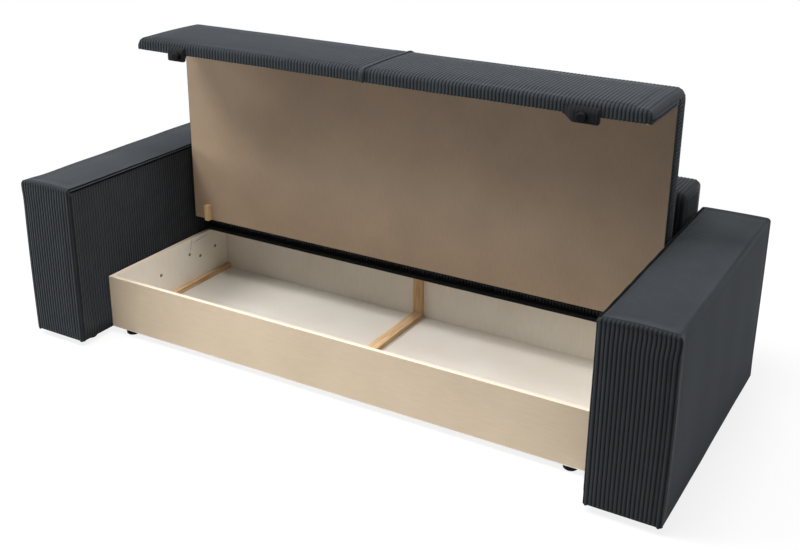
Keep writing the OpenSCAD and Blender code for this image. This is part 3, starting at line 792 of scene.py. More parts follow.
def tube_faces(stations: int, n: int, turned: bool = False) -> tuple[Array, list[list[int]]]:
    """Faces of a row of closed rings, with both ends closed.

    Args:
        stations: Number of rings.
        n: Points in each ring.
        turned: Whether the faces are turned round, as rows along Y need.

    Returns:
        Quads (m, 4) and the two end faces.
    """
    i, j = np.meshgrid(np.arange(stations - 1), np.arange(n), indexing="ij")
    k = (j + 1) % n
    quads = np.stack([i * n + j, (i + 1) * n + j, (i + 1) * n + k, i * n + k], -1).reshape(-1, 4)
    last = (stations - 1) * n
    ends = [list(range(n)), list(range(last + n - 1, last - 1, -1))]
    return (quads[:, ::-1], [end[::-1] for end in ends]) if turned else (quads, ends)


@dataclass
class Skin:
    """A closed mesh in the making: points, quads, end faces and the wale value of each point."""

    points: Array
    quads: Array
    ends: list[list[int]]
    wale: Array

    @staticmethod
    def row(points: Array, wale: Array | float = 1.0, turned: bool = False) -> Skin:
        """A row of closed rings.

        Args:
            points: Rings (stations, n, 3), clockwise seen from the row's far end.
            wale: Wale value of each point, or one for all.
            turned: Whether the faces are turned round, as rows along Y need.

        Returns:
            The closed skin.
        """
        value = np.clip(np.broadcast_to(wale, points.shape[:2]).ravel(), 0, 1)
        return Skin(points.reshape(-1, 3), *tube_faces(*points.shape[:2], turned), value)

    @staticmethod
    def joined(parts: Sequence[Skin]) -> Skin:
        """Puts several closed skins into one mesh.

        Args:
            parts: The skins.

        Returns:
            One skin that holds them all.
        """
        starts = np.cumsum([0] + [len(part.points) for part in parts])[:-1]
        ends = [[index + int(start) for index in end]
                for part, start in zip(parts, starts) for end in part.ends]
        quads = np.concatenate([part.quads + start for part, start in zip(parts, starts)])
        wale = np.concatenate([part.wale for part in parts])
        return Skin(np.concatenate([part.points for part in parts]), quads, ends, wale)

    def on(self, side: Side) -> Skin:
        """The skin itself on the right, or its mirror image on the left.

        Args:
            side: Side of the sofa.

        Returns:
            The skin for that side.
        """
        if side is Side.RIGHT:
            return self
        mirrored = self.points * np.array([-1.0, 1.0, 1.0])
        return Skin(mirrored, self.quads[:, ::-1], [end[::-1] for end in self.ends], self.wale)

    def lifted(self) -> Skin:
        """Carries a shape of the closed seat a quarter turn about the pivot axis.

        Returns:
            The same shape on the lifted seat.
        """
        x, y, z = self.points.T
        moved = np.stack([x, PLAN.pivot_y + (z - PLAN.pivot_z), PLAN.pivot_z - (y - PLAN.pivot_y)], -1)
        return Skin(moved, self.quads, self.ends, self.wale)

    def build(self, name: str, finish: Palette, body: Body, slot: str = "fabric") -> bpy.types.Object:
        """Makes the object at the origin, with its place in its mesh.

        Args:
            name: Name of the piece.
            finish: Its finish.
            body: Body that it rides on.
            slot: The record's material slot, which is not used.

        Returns:
            The object.
        """
        mesh = bpy.data.meshes.new(name)
        mesh.from_pydata(self.points.tolist(), [], self.quads.tolist() + self.ends)
        mesh.attributes.new("wale", "FLOAT", "POINT").data.foreach_set("value", self.wale.astype(np.float32))
        mesh.materials.append(finish.material)
        mesh.update()
        mesh.polygons.foreach_set("use_smooth", np.arange(len(mesh.polygons)) < len(self.quads))
        mesh.set_sharp_from_angle(angle=SHARP_ANGLE)
        piece = bpy.data.objects.new(name, mesh)
        bpy.context.scene.collection.objects.link(piece)
        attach(piece, body.value)
        return piece


@dataclass(frozen=True)
class Swelling:
    """How foam swells a tight cover: a cloth simulation of a coarse copy of the skin."""

    pressure: float = 4.0
    cap: float = 6 * MM
    step: float = 30 * MM
    pinned: float = 20 * MM
    frames: int = 20
    quality: int = 6
    mass: float = 0.3
    stretch: float = 20.0
    bending: float = 2.0

    def shift(self, points: Array, held: Array, turned: bool) -> Array:
        """Simulates the coarse skin under pressure, with gravity off.

        Formula: each point keeps the direction in which it moved, and the hyperbolic tangent
        brings the length of the move softly under the cap.

        Args:
            points: Rings (stations, n, 3) of the resting skin.
            held: Share (stations, n) by which each point is held.
            turned: Whether the row runs along Y.

        Returns:
            Movement of each point.
        """
        quads, ends = tube_faces(*points.shape[:2], turned)
        mesh = bpy.data.meshes.new("swelling")
        mesh.from_pydata(points.reshape(-1, 3).tolist(), [], quads.tolist() + ends)
        skin = bpy.data.objects.new("swelling", mesh)
        scene = bpy.context.scene
        scene.collection.objects.link(skin)
        group = skin.vertex_groups.new(name="held")
        levels = np.round(held.ravel(), 1)
        for level in np.unique(levels[levels > 0]):
            group.add(np.flatnonzero(levels == level).tolist(), float(level), "REPLACE")
        cloth = skin.modifiers.new("cloth", "CLOTH")
        values = {
            "quality": self.quality, "mass": self.mass, "tension_stiffness": self.stretch,
            "compression_stiffness": self.stretch, "bending_stiffness": self.bending, "use_pressure": True,
            "uniform_pressure_force": self.pressure, "vertex_group_mass": "held",
        }
        for name, value in values.items():
            setattr(cloth.settings, name, value)
        cloth.settings.effector_weights.gravity = 0
        cloth.point_cache.frame_start, cloth.point_cache.frame_end = 1, self.frames
        for number in range(1, self.frames + 1):
            scene.frame_set(number)
        result = skin.evaluated_get(bpy.context.evaluated_depsgraph_get()).to_mesh()
        moved = np.zeros(len(result.vertices) * 3, np.float32)
        result.vertices.foreach_get("co", moved)
        bpy.data.objects.remove(skin)
        scene.frame_set(1)
        shift = moved.reshape(points.shape).astype(float) - points
        length = np.maximum(np.linalg.norm(shift, axis=-1, keepdims=True), TINY)
        return shift * self.cap * np.tanh(length / self.cap) / length


def along_x(plane: Array, place: Array) -> Array:
    """Points (x, y, z) of rings in the Y-Z plane at their places along X."""
    return np.stack([np.broadcast_to(place[:, None], plane.shape[:2]), plane[..., 0], plane[..., 1]], -1)


def along_y(plane: Array, place: Array) -> Array:
    """Points (x, y, z) of rings in the X-Z plane at their places along Y."""
    return np.stack([plane[..., 0], np.broadcast_to(place[:, None], plane.shape[:2]), plane[..., 1]], -1)


@dataclass
class Cover:
    """A padded cover: rings along one axis, swollen by simulation, with ribs across that axis.

    Formula: a point is the section's point, pulled in along the section's normal by the rib's
    depth between ridges, let out by a slack of two slow products of sines that leave the cloth a
    little uneven, and moved by the swelling, less what would press it into the frame. Relief is
    the share of the ribs that each of the first stretches shows, where the cloth is drawn tight or
    lies loose. Each of the waves has a rate and a phase along the axis, then both along the ring.
    """

    section: Callable[[Array], list[Run]]
    low: float
    high: float
    groove: float
    upright: bool = False
    ribs: float = 1.0
    contrast: float = 1.0
    fade: Pair = (0.0, 0.0)
    extra: tuple[float, ...] = ()
    relief: tuple[float, ...] = ()
    end_tone: float = 0.3
    least_rings: int = 6
    slack: float = 0.5 * MM
    waves: tuple[tuple[float, float, float, float], ...] = ((23.0, 1.3, 2.1, 0.4), (9.0, 0.0, 0.9, 2.0))
    swelling: Swelling | None = Swelling()

    def put(self, plane: Array, place: Array) -> Array:
        """Points in space of rings at their places along the cover's axis."""
        return along_y(plane, place) if self.upright else along_x(plane, place)

    def swollen(self, stations: Array, places: Array, runs: int) -> Array:
        """Movement of the fine skin, interpolated from the simulated coarse one.

        Args:
            stations: Fine stations.
            places: Fine places along the ring.
            runs: Number of the section's stretches.

        Returns:
            Movement (stations, n, 3).
        """
        count = max(self.least_rings, int((self.high - self.low) / self.swelling.step))
        coarse = np.linspace(self.low, self.high, count)
        plane, skins, old = ring(self.section(coarse[:, None]), count, coarse=True)
        edge = np.minimum(coarse - self.low, self.high - coarse)
        loose = np.minimum(skins, np.minimum(np.roll(skins, 1), np.roll(skins, -1)))
        held = np.maximum(np.clip(1 - edge / self.swelling.pinned, 0, 1)[:, None], 1 - loose[None, :])
        shift = self.swelling.shift(self.put(plane, coarse), held, self.upright)
        closed = np.moveaxis(np.concatenate([shift, shift[:, :1]], 1), 1, 0)
        around = cubic(closed, np.append(old, runs), places)
        return cubic(np.moveaxis(around, 0, 1), coarse, stations)

    def skin(self) -> Skin:
        """Works out the finished skin.

        Returns:
            The skin, whose ribs are told apart by its wale values.
        """
        stations = WALE.places(self.low, self.high, self.groove, self.extra)
        runs = self.section(stations[:, None])
        plane, skins, places = ring(runs, len(stations))
        share = WALE.share(stations, self.groove)
        ends = np.ones(len(stations))
        for distance, reach in ((stations - self.low, self.fade[0]), (self.high - stations, self.fade[1])):
            ends = ends * (np.sqrt(np.clip(distance / reach, 0, 1)) if reach else 1.0)
        rib = WALE.depth * self.ribs * (share - 1.0) * ends
        uneven = sum(np.sin(stations * a + b)[:, None] * np.sin(places * c + d)[None, :]
                     for a, b, c, d in self.waves)
        shown = np.interp(places, np.arange(len(self.relief)) + 0.5, self.relief) if self.relief else 1.0
        lift = (rib[:, None] * shown + self.slack * uneven * ends[:, None] ** 2) * skins
        points = self.put(plane + outward(plane) * lift[..., None], stations)
        if self.swelling:
            moved = self.swollen(stations, places, len(runs))
            normal = self.put(outward(plane), 0 * stations)
            points = points + moved - np.minimum((moved * normal).sum(-1, keepdims=True), 0) * normal
        tone = WALE.mean + ((share - WALE.mean) * self.contrast)[:, None] * shown
        wale = (tone * ends[:, None] + self.end_tone * (1 - ends)[:, None]) * skins
        wale[[0, -1]] = self.end_tone
        return Skin.row(points, wale, self.upright)


# --- Sub-assemblies ------------------------------------------------------------------------


@dataclass
class Arm:
    """One upholstered arm: a cover over top, sides and rear, a rolled front edge, a ribbed front."""

    side: Side
    edge_r: float = 15 * MM
    rear_r: float = 18 * MM
    rear_margin: float = 1 * MM
    rear_proud: float = 2 * MM
    rear_flat: float = 0.6
    rear_fade: float = 12 * MM
    corner_r: float = 10 * MM
    crown: float = 4 * MM
    plump: float = 8 * MM
    fullness: float = 4 * MM
    cavity_gap: float = 2 * MM
    cover_ribs: float = 0.9
    cover_contrast: float = 0.8
    roll_r: float = 9 * MM
    roll_z: float = 0.616
    roll_lap: float = 3 * MM
    roll_tone: Pair = (0.1, 0.75)
    pucker: float = 2.4 * MM
    fold_drop: float = 6 * MM
    fold_reach: float = 9 * MM
    panel_r: float = 6 * MM
    panel_r_share: float = 0.6
    panel_ribs: float = 1.15
    panel_fade: float = 4 * MM
    panel_slack: float = 0.3 * MM
    seam_start: float = 12 * MM
    seam_stop: float = 24 * MM
    seam_angle: float = 137.0
    seam_half: float = 34.0
    seam_height: float = 2.4 * MM
    seam_sink: float = 0.2 * MM
    seam_root: float = 3 * MM
    seam_waver: float = 0.4 * MM
    seam_rate: float = 60.0
    stitch_half: float = 0.35
    stitch_shift: float = 0.15
    stitch_share: float = 0.15
    ear: float = 5 * MM
    ear_z: float = 0.605
    ear_reach: float = 32 * MM
    relief: tuple[float, ...] = (0.12, 0.15, 0.07, 0.3, 1.0)

    @property
    def top(self) -> float:
        """Height of the arm's long edges, to which its foam plumps them up."""
        return PLAN.arm_top + self.plump

    def cover_section(self, y: Array) -> list[Run]:
        """Section of the cover in X-Z: outer side, top, inner side, then the frame's hollow.

        Args:
            y: Stations as a column.

        Returns:
            The section's stretches, clockwise.
        """
        p = PLAN
        inset = rounding(p.rear_y - y, self.rear_r)
        x0, x1 = p.arm_x, p.arm_x + p.arm_w - inset
        z1, r = self.top - inset, self.edge_r - inset / 2
        crown = self.crown * np.sqrt(np.clip((p.rear_y - y) / p.arm_w, 0, 1))
        in0, in1 = p.arm_x + p.arm_cavity_side, p.arm_x + p.arm_w - p.arm_cavity_side
        top = np.where(y > p.rear_y - p.cover_t, p.foot_h + self.cavity_gap, p.arm_cavity_top)
        hollow = [(x0, p.foot_h), (in0, p.foot_h), (in0, top), (in1, top), (in1, p.foot_h), (x1, p.foot_h)]
        return [
            Run(line((x1, p.foot_h), (x1, z1 - r)), 16, 9),
            Run(turn((x1 - r, z1 - r), r, 0, 90), 8, 3),
            Run(line((x1 - r, z1), (x0 + r, z1), crown, (0, 1)), 20, 8),
            Run(turn((x0 + r, z1 - r), r, 90, 180), 8, 3),
            Run(line((x0, z1 - r), (x0, p.foot_h)), 14, 9),
            *path(hollow),
        ]

    def cover(self) -> Skin:
        """Cover of top, sides and rear, with the rolled front edge sewn to it.

        Returns:
            The right arm's skin.
        """
        start, shut = PLAN.front_y + PLAN.arm_front_t, PLAN.rear_y - PLAN.cover_t
        wrap = Cover(self.cover_section, start, PLAN.rear_y, start, upright=True, ribs=self.cover_ribs,
                     contrast=self.cover_contrast, fade=(0.0, self.rear_fade),
                     extra=(shut - MM / 2, shut + MM / 2), relief=self.relief,
                     swelling=Swelling(cap=3.5 * MM))
        return Skin.joined([wrap.skin(), self.front_roll()])

    def groove(self) -> float:
        """Place of the front's first groove: whole ribs, centred on the arm."""
        return PLAN.arm_x + math.fmod(PLAN.arm_w, WALE.pitch) / 2

    def front_roll(self) -> Skin:
        """Rolled front edge of the top, puckered where each groove of the front pulls it in.

        Formula: a quarter round over the top edge, set back in proportion to the depth of the
        groove below it, which dips at both ends as the arm's long edges do.

        Returns:
            The right arm's roll.
        """
        p = PLAN
        high, near = p.arm_x + p.arm_w, [k * MM for k in (1, 3)]
        extra = [p.arm_x + k for k in near] + [high - k for k in near]
        x = WALE.places(p.arm_x, high, self.groove(), extra)[:, None]
        end = np.minimum(x - p.arm_x, high - x)
        drop, share = rounding(end, self.edge_r), WALE.share(x, self.groove())
        middle = np.clip((x - p.arm_x - self.edge_r) / (p.arm_w - 2 * self.edge_r), 0, 1)
        top = self.top - drop + self.crown * np.sin(np.pi * middle)
        y0 = p.front_y + self.pucker * (1 - share) + rounding(end, self.corner_r)
        y1 = p.front_y + p.arm_front_t + MM
        r, tuck = np.minimum(self.roll_r, y1 - y0), self.roll_lap
        low = self.roll_z - drop - self.pucker * share
        runs = [
            Run(line((y1, low), (y0 + tuck, low)), 2, 1, 0.5),
            Run(turn((y0 + tuck, low + tuck), tuck, 270, 180), 4, 1),
            Run(line((y0, low + tuck), (y0, top - r)), 2, 1),
            Run(turn((y0 + r, top - r), r, 180, 90), 10, 1),
            *path([(y0 + r, top), (y1, top), (y1, low)], 0.7),
        ]
        plane, skins, _ = ring(runs, len(x))
        low_tone, more = self.roll_tone
        return Skin.row(along_x(plane, x[:, 0]), (low_tone + more * share) * skins)

    def front_section(self, x: Array) -> list[Run]:
        """Section of the front panel in Y-Z, with a small fold of cloth below its lower corners.

        Args:
            x: Stations as a column.

        Returns:
            The section's stretches, clockwise.
        """
        p = PLAN
        end = np.minimum(x - p.arm_x, p.arm_x + p.arm_w - x)
        y0, y1 = p.front_y + rounding(end, self.corner_r), p.front_y + p.arm_front_t
        top = self.roll_z + self.roll_lap - rounding(end, self.edge_r)
        low = p.foot_h - self.fold_drop * np.exp(-(((end - self.fold_reach) / self.fold_reach) ** 2))
        r = np.minimum(self.panel_r, (y1 - y0) * self.panel_r_share)
        return [
            Run(line((y1, low), (y0 + r, low)), 2, 1, 0.4),
            Run(turn((y0 + r, low + r), r, 270, 180), 5, 2),
            Run(line((y0, low + r), (y0, top - r)), 30, 14),
            Run(turn((y0 + r, top - r), r, 180, 90), 4, 2),
            *path([(y0 + r, top), (y1, top), (y1, low)]),
        ]

    def front(self) -> Skin:
        """Front panel with its 18 upright ribs.

        Returns:
            The right arm's panel.
        """
        swelling = Swelling(cap=2.5 * MM, step=16 * MM, pinned=12 * MM)
        panel = Cover(self.front_section, PLAN.arm_x, PLAN.arm_x + PLAN.arm_w, self.groove(),
                      ribs=self.panel_ribs, fade=(self.panel_fade, self.panel_fade),
                      slack=self.panel_slack, swelling=swelling)
        return panel.skin()

    def rear(self, front: Skin) -> Skin:
        """Ribbed rear panel: the front panel turned round, flattened and drawn in to the rounded edges.

        Args:
            front: The right arm's front panel.

        Returns:
            The right arm's rear panel.
        """
        p, (x, y, z) = PLAN, front.points.T
        inset = self.rear_r + self.rear_margin
        across = (p.arm_w - inset) / p.arm_w
        up = (self.top - inset - p.foot_h) / (self.roll_z + self.roll_lap - p.foot_h)
        depth = p.rear_y + self.rear_proud - (y - p.front_y) * self.rear_flat
        moved = np.stack([p.arm_x + (x - p.arm_x) * across, depth, p.foot_h + (z - p.foot_h) * up], -1)
        return Skin(moved, front.quads[:, ::-1], [end[::-1] for end in front.ends], front.wale)

    def edge_seam(self) -> Skin:
        """Top-stitched seam along the inner top edge: a flat strip between two stitch lines.

        Formula: on the edge's arc, the radius grows by the seam's height less its fourth power of
        the way across, so that the strip is flat on top and falls off steeply at both stitch lines.
        The radius wavers by a slow sine along the seam.

        Returns:
            The right arm's strip.
        """
        p = PLAN
        y = np.linspace(p.front_y + self.seam_start, p.rear_y - self.seam_stop, 80)
        s = np.linspace(-1, 1, 13)
        arc = np.radians(self.seam_angle + self.seam_half * s)
        height = self.seam_height * (1 - s**4) - self.seam_sink
        radius = np.concatenate([self.edge_r + height, np.full(len(s), self.edge_r - self.seam_root)])
        angle = np.concatenate([arc[::-1], arc])
        reach = radius + self.seam_waver * np.sin(y * self.seam_rate)[:, None]
        centre = (p.arm_x + self.edge_r, self.top - self.edge_r)
        plane = np.stack([centre[0] + reach * np.cos(angle), centre[1] + reach * np.sin(angle)], -1)
        # Painted shade: the tone is lit on the strip's flat middle and falls to the near-black groove colour
        # at both stitch lines and on the root.
        lit = ease((self.stitch_half - np.abs(s[::-1] - self.stitch_shift)) / self.stitch_share)
        return Skin.row(along_y(plane, y), np.concatenate([lit, np.zeros(len(s))]), True)

    def filled(self, skin: Skin) -> Skin:
        """Lets foam push the arm's outer side out, most at the front's upper outer corner.

        Formula: X grows by the fullness, times half a sine wave over the height, times a smooth
        step across the width, times the root of the distance from the rear. In front of the cover
        it grows further by a bell curve over the height.

        Args:
            skin: A skin of the right arm.

        Returns:
            The fuller skin.
        """
        p, (x, y, z) = PLAN, skin.points.T
        over_height = np.sin(np.pi * np.clip((z - p.foot_h) / (self.top - self.edge_r - p.foot_h), 0, 1))
        from_rear = np.sqrt(np.clip((p.rear_y - y) / p.arm_w, 0, 1))
        in_front = 1 - ease((y - p.front_y - p.arm_front_t / 2) / (p.arm_front_t / 2))
        bell = self.ear * np.exp(-(((z - self.ear_z) / self.ear_reach) ** 2)) * in_front
        out = (self.fullness * over_height * from_rear + bell) * ease((x - p.arm_x) / p.arm_w)
        return Skin(np.stack([x + out, y, z], -1), skin.quads, skin.ends, skin.wale)

    def build(self) -> list[bpy.types.Object]:
        """Makes the arm's pieces and lets them stand for the part's nodes.

        Returns:
            The pieces.
        """
        word, cloth, seamed, body = self.side.word, Palette.CORDUROY, Palette.STITCHED_SEAM_PAINTED_SHADE, Body.FRAME
        cover = self.filled(self.cover()).on(self.side).build(f"arm_{word}_cover", cloth, body)
        panel = self.front()
        front = self.filled(panel).on(self.side).build(f"arm_{word}_ribbed_front", cloth, body)
        rear = self.rear(panel).on(self.side).build(f"arm_{word}_ribbed_rear", cloth, body)
        seam = self.edge_seam().on(self.side).build(f"arm_{word}_edge_seam", seamed, body)
        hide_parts(f"arm_{word}_pad")
        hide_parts(f"arm_{word}_front_pad")
        return [cover, front, rear, seam]


@dataclass(frozen=True)
class Boxing:
    """A ribbed strip of cloth that faces +X, with its ribs stacked along Y or Z.

    Low and high are its corners, whose X are its back and the top of its ribs.
    """

    low: Point
    high: Point
    axis: int
    rows: int
    groove: float
    puff: float = 0.0
    edge: float = 5 * MM

    def skin(self) -> Skin:
        """Works out the strip.

        Formula: its front lies below its highest X by the depth of the grooves, and by rounded
        edges, and above it by the puff times the roots of half a sine wave over each side.

        Returns:
            The closed skin.
        """
        other = 3 - self.axis
        stations = WALE.places(self.low[self.axis], self.high[self.axis], self.groove)
        across = np.linspace(self.low[other], self.high[other], self.rows)
        share = WALE.share(stations, self.groove)[:, None]
        full, ends = self.puff, 0.0
        for places, axis, shape in ((stations, self.axis, (-1, 1)), (across, other, (1, -1))):
            low, high = self.low[axis], self.high[axis]
            wave = np.sin(np.pi * np.clip((places - low) / (high - low), 0, 1))
            full = full * np.sqrt(np.maximum(wave, 0)).reshape(shape)
            ends = ends + rounding(np.minimum(places - low, high - places), self.edge).reshape(shape)
        front = self.high[0] - WALE.depth * (1 - share) + full - ends
        grid = np.zeros((len(stations), self.rows, 3))
        grid[..., 0] = np.maximum(front, self.low[0] + MM / 2)
        grid[..., self.axis], grid[..., other] = stations[:, None], across[None, :]
        back = grid[:, ::-1].copy()
        back[..., 0] = self.low[0]
        tone = np.concatenate([np.repeat(share, self.rows, 1), np.zeros((len(stations), self.rows))], 1)
        return Skin.row(np.concatenate([grid, back], 1), tone, self.axis == 1)


@dataclass
class Back:
    """The back: an upholstered block behind the box, a bolster before it and the rail below."""

    end_r: float = 24 * MM
    edge_r: float = 30 * MM
    crown: float = 8 * MM
    front_share: float = 0.8
    rear_share: float = 0.66
    shut_gap: Pair = (2 * MM, 3 * MM)
    end_gap: float = 2.5 * MM
    end_fade: float = 10 * MM
    panel_margin: Point = (6 * MM, 4 * MM, 2 * MM)
    panel_puff: float = 2 * MM
    bolster_r: float = 9 * MM
    bolster_end_r: float = 6 * MM
    bolster_slack: float = 0.2 * MM
    rail_r: float = 4 * MM
    rail_gap: float = 0.3 * MM
    rail_waver: float = 0.3 * MM
    rail_rate: float = 31.0
    rail_tone: float = 0.9

    def cover_section(self, x: Array) -> list[Run]:
        """Section of the back in Y-Z: front, top and rear skin, then the frame's hollow.

        Args:
            x: Stations as a column.

        Returns:
            The section's stretches, clockwise.
        """
        p = PLAN
        end = p.back_half_w - np.abs(x)
        inset = rounding(end, self.end_r)
        share = inset / self.end_r
        y0 = p.back_y + self.front_share * share * (p.box_end - p.back_y)
        y1, z1, r = p.rear_y - self.rear_share * inset, p.back_top - inset, self.edge_r * (1 - share / 2)
        crown = self.crown * np.sqrt(np.clip(end / (self.end_r * 3), 0, 1))
        shut = np.abs(x) > p.back_frame_x
        wall = p.rear_y - p.cover_t
        wall_y = np.where(shut, p.box_end + self.shut_gap[0], wall)
        top = np.where(shut, p.foot_h + self.shut_gap[1], p.back_cavity_top)
        hollow = [(y1, p.foot_h), (wall, p.foot_h), (wall_y, top), (p.box_end, top + MM),
                  (p.box_end, p.rail_top)]
        return [
            *path([(p.box_end, p.rail_top), (y0, p.rail_top)]),
            Run(line((y0, p.rail_top), (y0, p.bolster_top)), 3, 1),
            Run(line((y0, p.bolster_top), (y0, z1 - r), crown, (-1, 0)), 22, 10),
            Run(turn((y0 + r, z1 - r), r, 180, 90), 9, 3),
            Run(line((y0 + r, z1), (y1 - r, z1)), 10, 5),
            Run(turn((y1 - r, z1 - r), r, 90, 0), 9, 3),
            Run(line((y1, z1 - r), (y1, p.foot_h)), 24, 12),
            *path(hollow),
        ]

    def cover(self) -> Skin:
        """Cover of front, top and rear.

        Returns:
            The skin.
        """
        half, step = PLAN.back_half_w - self.end_gap, PLAN.back_frame_x
        marks = tuple(sign * step + shift for sign in (-1, 1) for shift in (-MM / 2, MM / 2))
        return Cover(self.cover_section, -half, half, 0.0, fade=(self.end_fade, self.end_fade), extra=marks,
                     swelling=Swelling(step=45 * MM)).skin()

    def end_panel(self) -> Skin:
        """End of the back: ribs that run from front to rear, stacked upwards.

        Returns:
            The right end's skin.
        """
        p, (dx, dy, dz) = PLAN, self.panel_margin
        low = (p.back_half_w - dx, p.box_end + dy, p.foot_h + dz)
        high = (p.back_half_w, p.rear_y - self.rear_share * self.end_r, p.back_top - self.end_r)
        return Boxing(low, high, 2, 12, p.foot_h, self.panel_puff).skin()

    def bolster_section(self, x: Array) -> list[Run]:
        """Section of the bolster in Y-Z, drawn in at its two ends.

        Args:
            x: Stations as a column.

        Returns:
            The section's stretches, clockwise.
        """
        p, r = PLAN, self.bolster_r
        inset = rounding(p.back_half_w - np.abs(x), self.bolster_end_r)
        y0, z1 = p.bolster_y + inset, p.bolster_top - inset
        return [
            Run(line((y0, p.rail_top), (y0, z1 - r)), 4, 2),
            Run(turn((y0 + r, z1 - r), r, 180, 90), 7, 2),
            Run(line((y0 + r, z1), (p.back_y, z1)), 8, 3),
            *path([(p.back_y, z1), (p.back_y, p.rail_top), (y0, p.rail_top)]),
        ]

    def bolster(self) -> Skin:
        """Low ribbed bolster on the rail, over its section.

        Returns:
            The skin.
        """
        half = PLAN.back_half_w
        return Cover(self.bolster_section, -half, half, 0.0, slack=self.bolster_slack, swelling=None).skin()

    def rail(self) -> Skin:
        """Cloth drawn over the rail across the rear of the box.

        Formula: a rectangle whose two front edges are quarter rounds and whose front wavers by a
        slow sine along X.

        Returns:
            The skin.
        """
        p, r = PLAN, self.rail_r
        x = np.linspace(-p.arm_x + self.rail_gap, p.arm_x - self.rail_gap, 81)
        y0 = p.rail_y + self.rail_waver * np.sin(x * self.rail_rate)[:, None]
        runs = [
            Run(line((y0, p.box_top + r), (y0, p.rail_top - r)), 4, 1),
            Run(turn((y0 + r, p.rail_top - r), r, 180, 90), 5, 1),
            Run(line((y0 + r, p.rail_top), (p.box_end, p.rail_top)), 8, 1),
            *path([(p.box_end, p.rail_top), (p.box_end, p.box_top), (y0 + r, p.box_top)]),
            Run(turn((y0 + r, p.box_top + r), r, 270, 180), 5, 1),
        ]
        plane, skins, _ = ring(runs, len(x))
        return Skin.row(along_x(plane, x), self.rail_tone * skins[None, :])

    def build(self) -> list[bpy.types.Object]:
        """Makes the back's pieces and lets them stand for the part's nodes.

        Returns:
            The pieces.
        """
        cloth, body = Palette.CORDUROY, Body.FRAME
        cover = self.cover().build("back_cover", cloth, body)
        ends = [self.end_panel().on(side).build(f"back_end_{side.word}", cloth, body) for side in Side]
        # The bolster's paler corduroy is painted light in the raised seat's shade.
        bolster = self.bolster().build("back_bolster", Palette.PAINTED_LIGHT_CORDUROY, body)
        rail = self.rail().build("back_rail_cover", Palette.FLAT_CLOTH, body)
        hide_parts("back_pad")
        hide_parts("rear_bolster")
        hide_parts("rear_cross_rail")
        return [cover, *ends, bolster, rail]


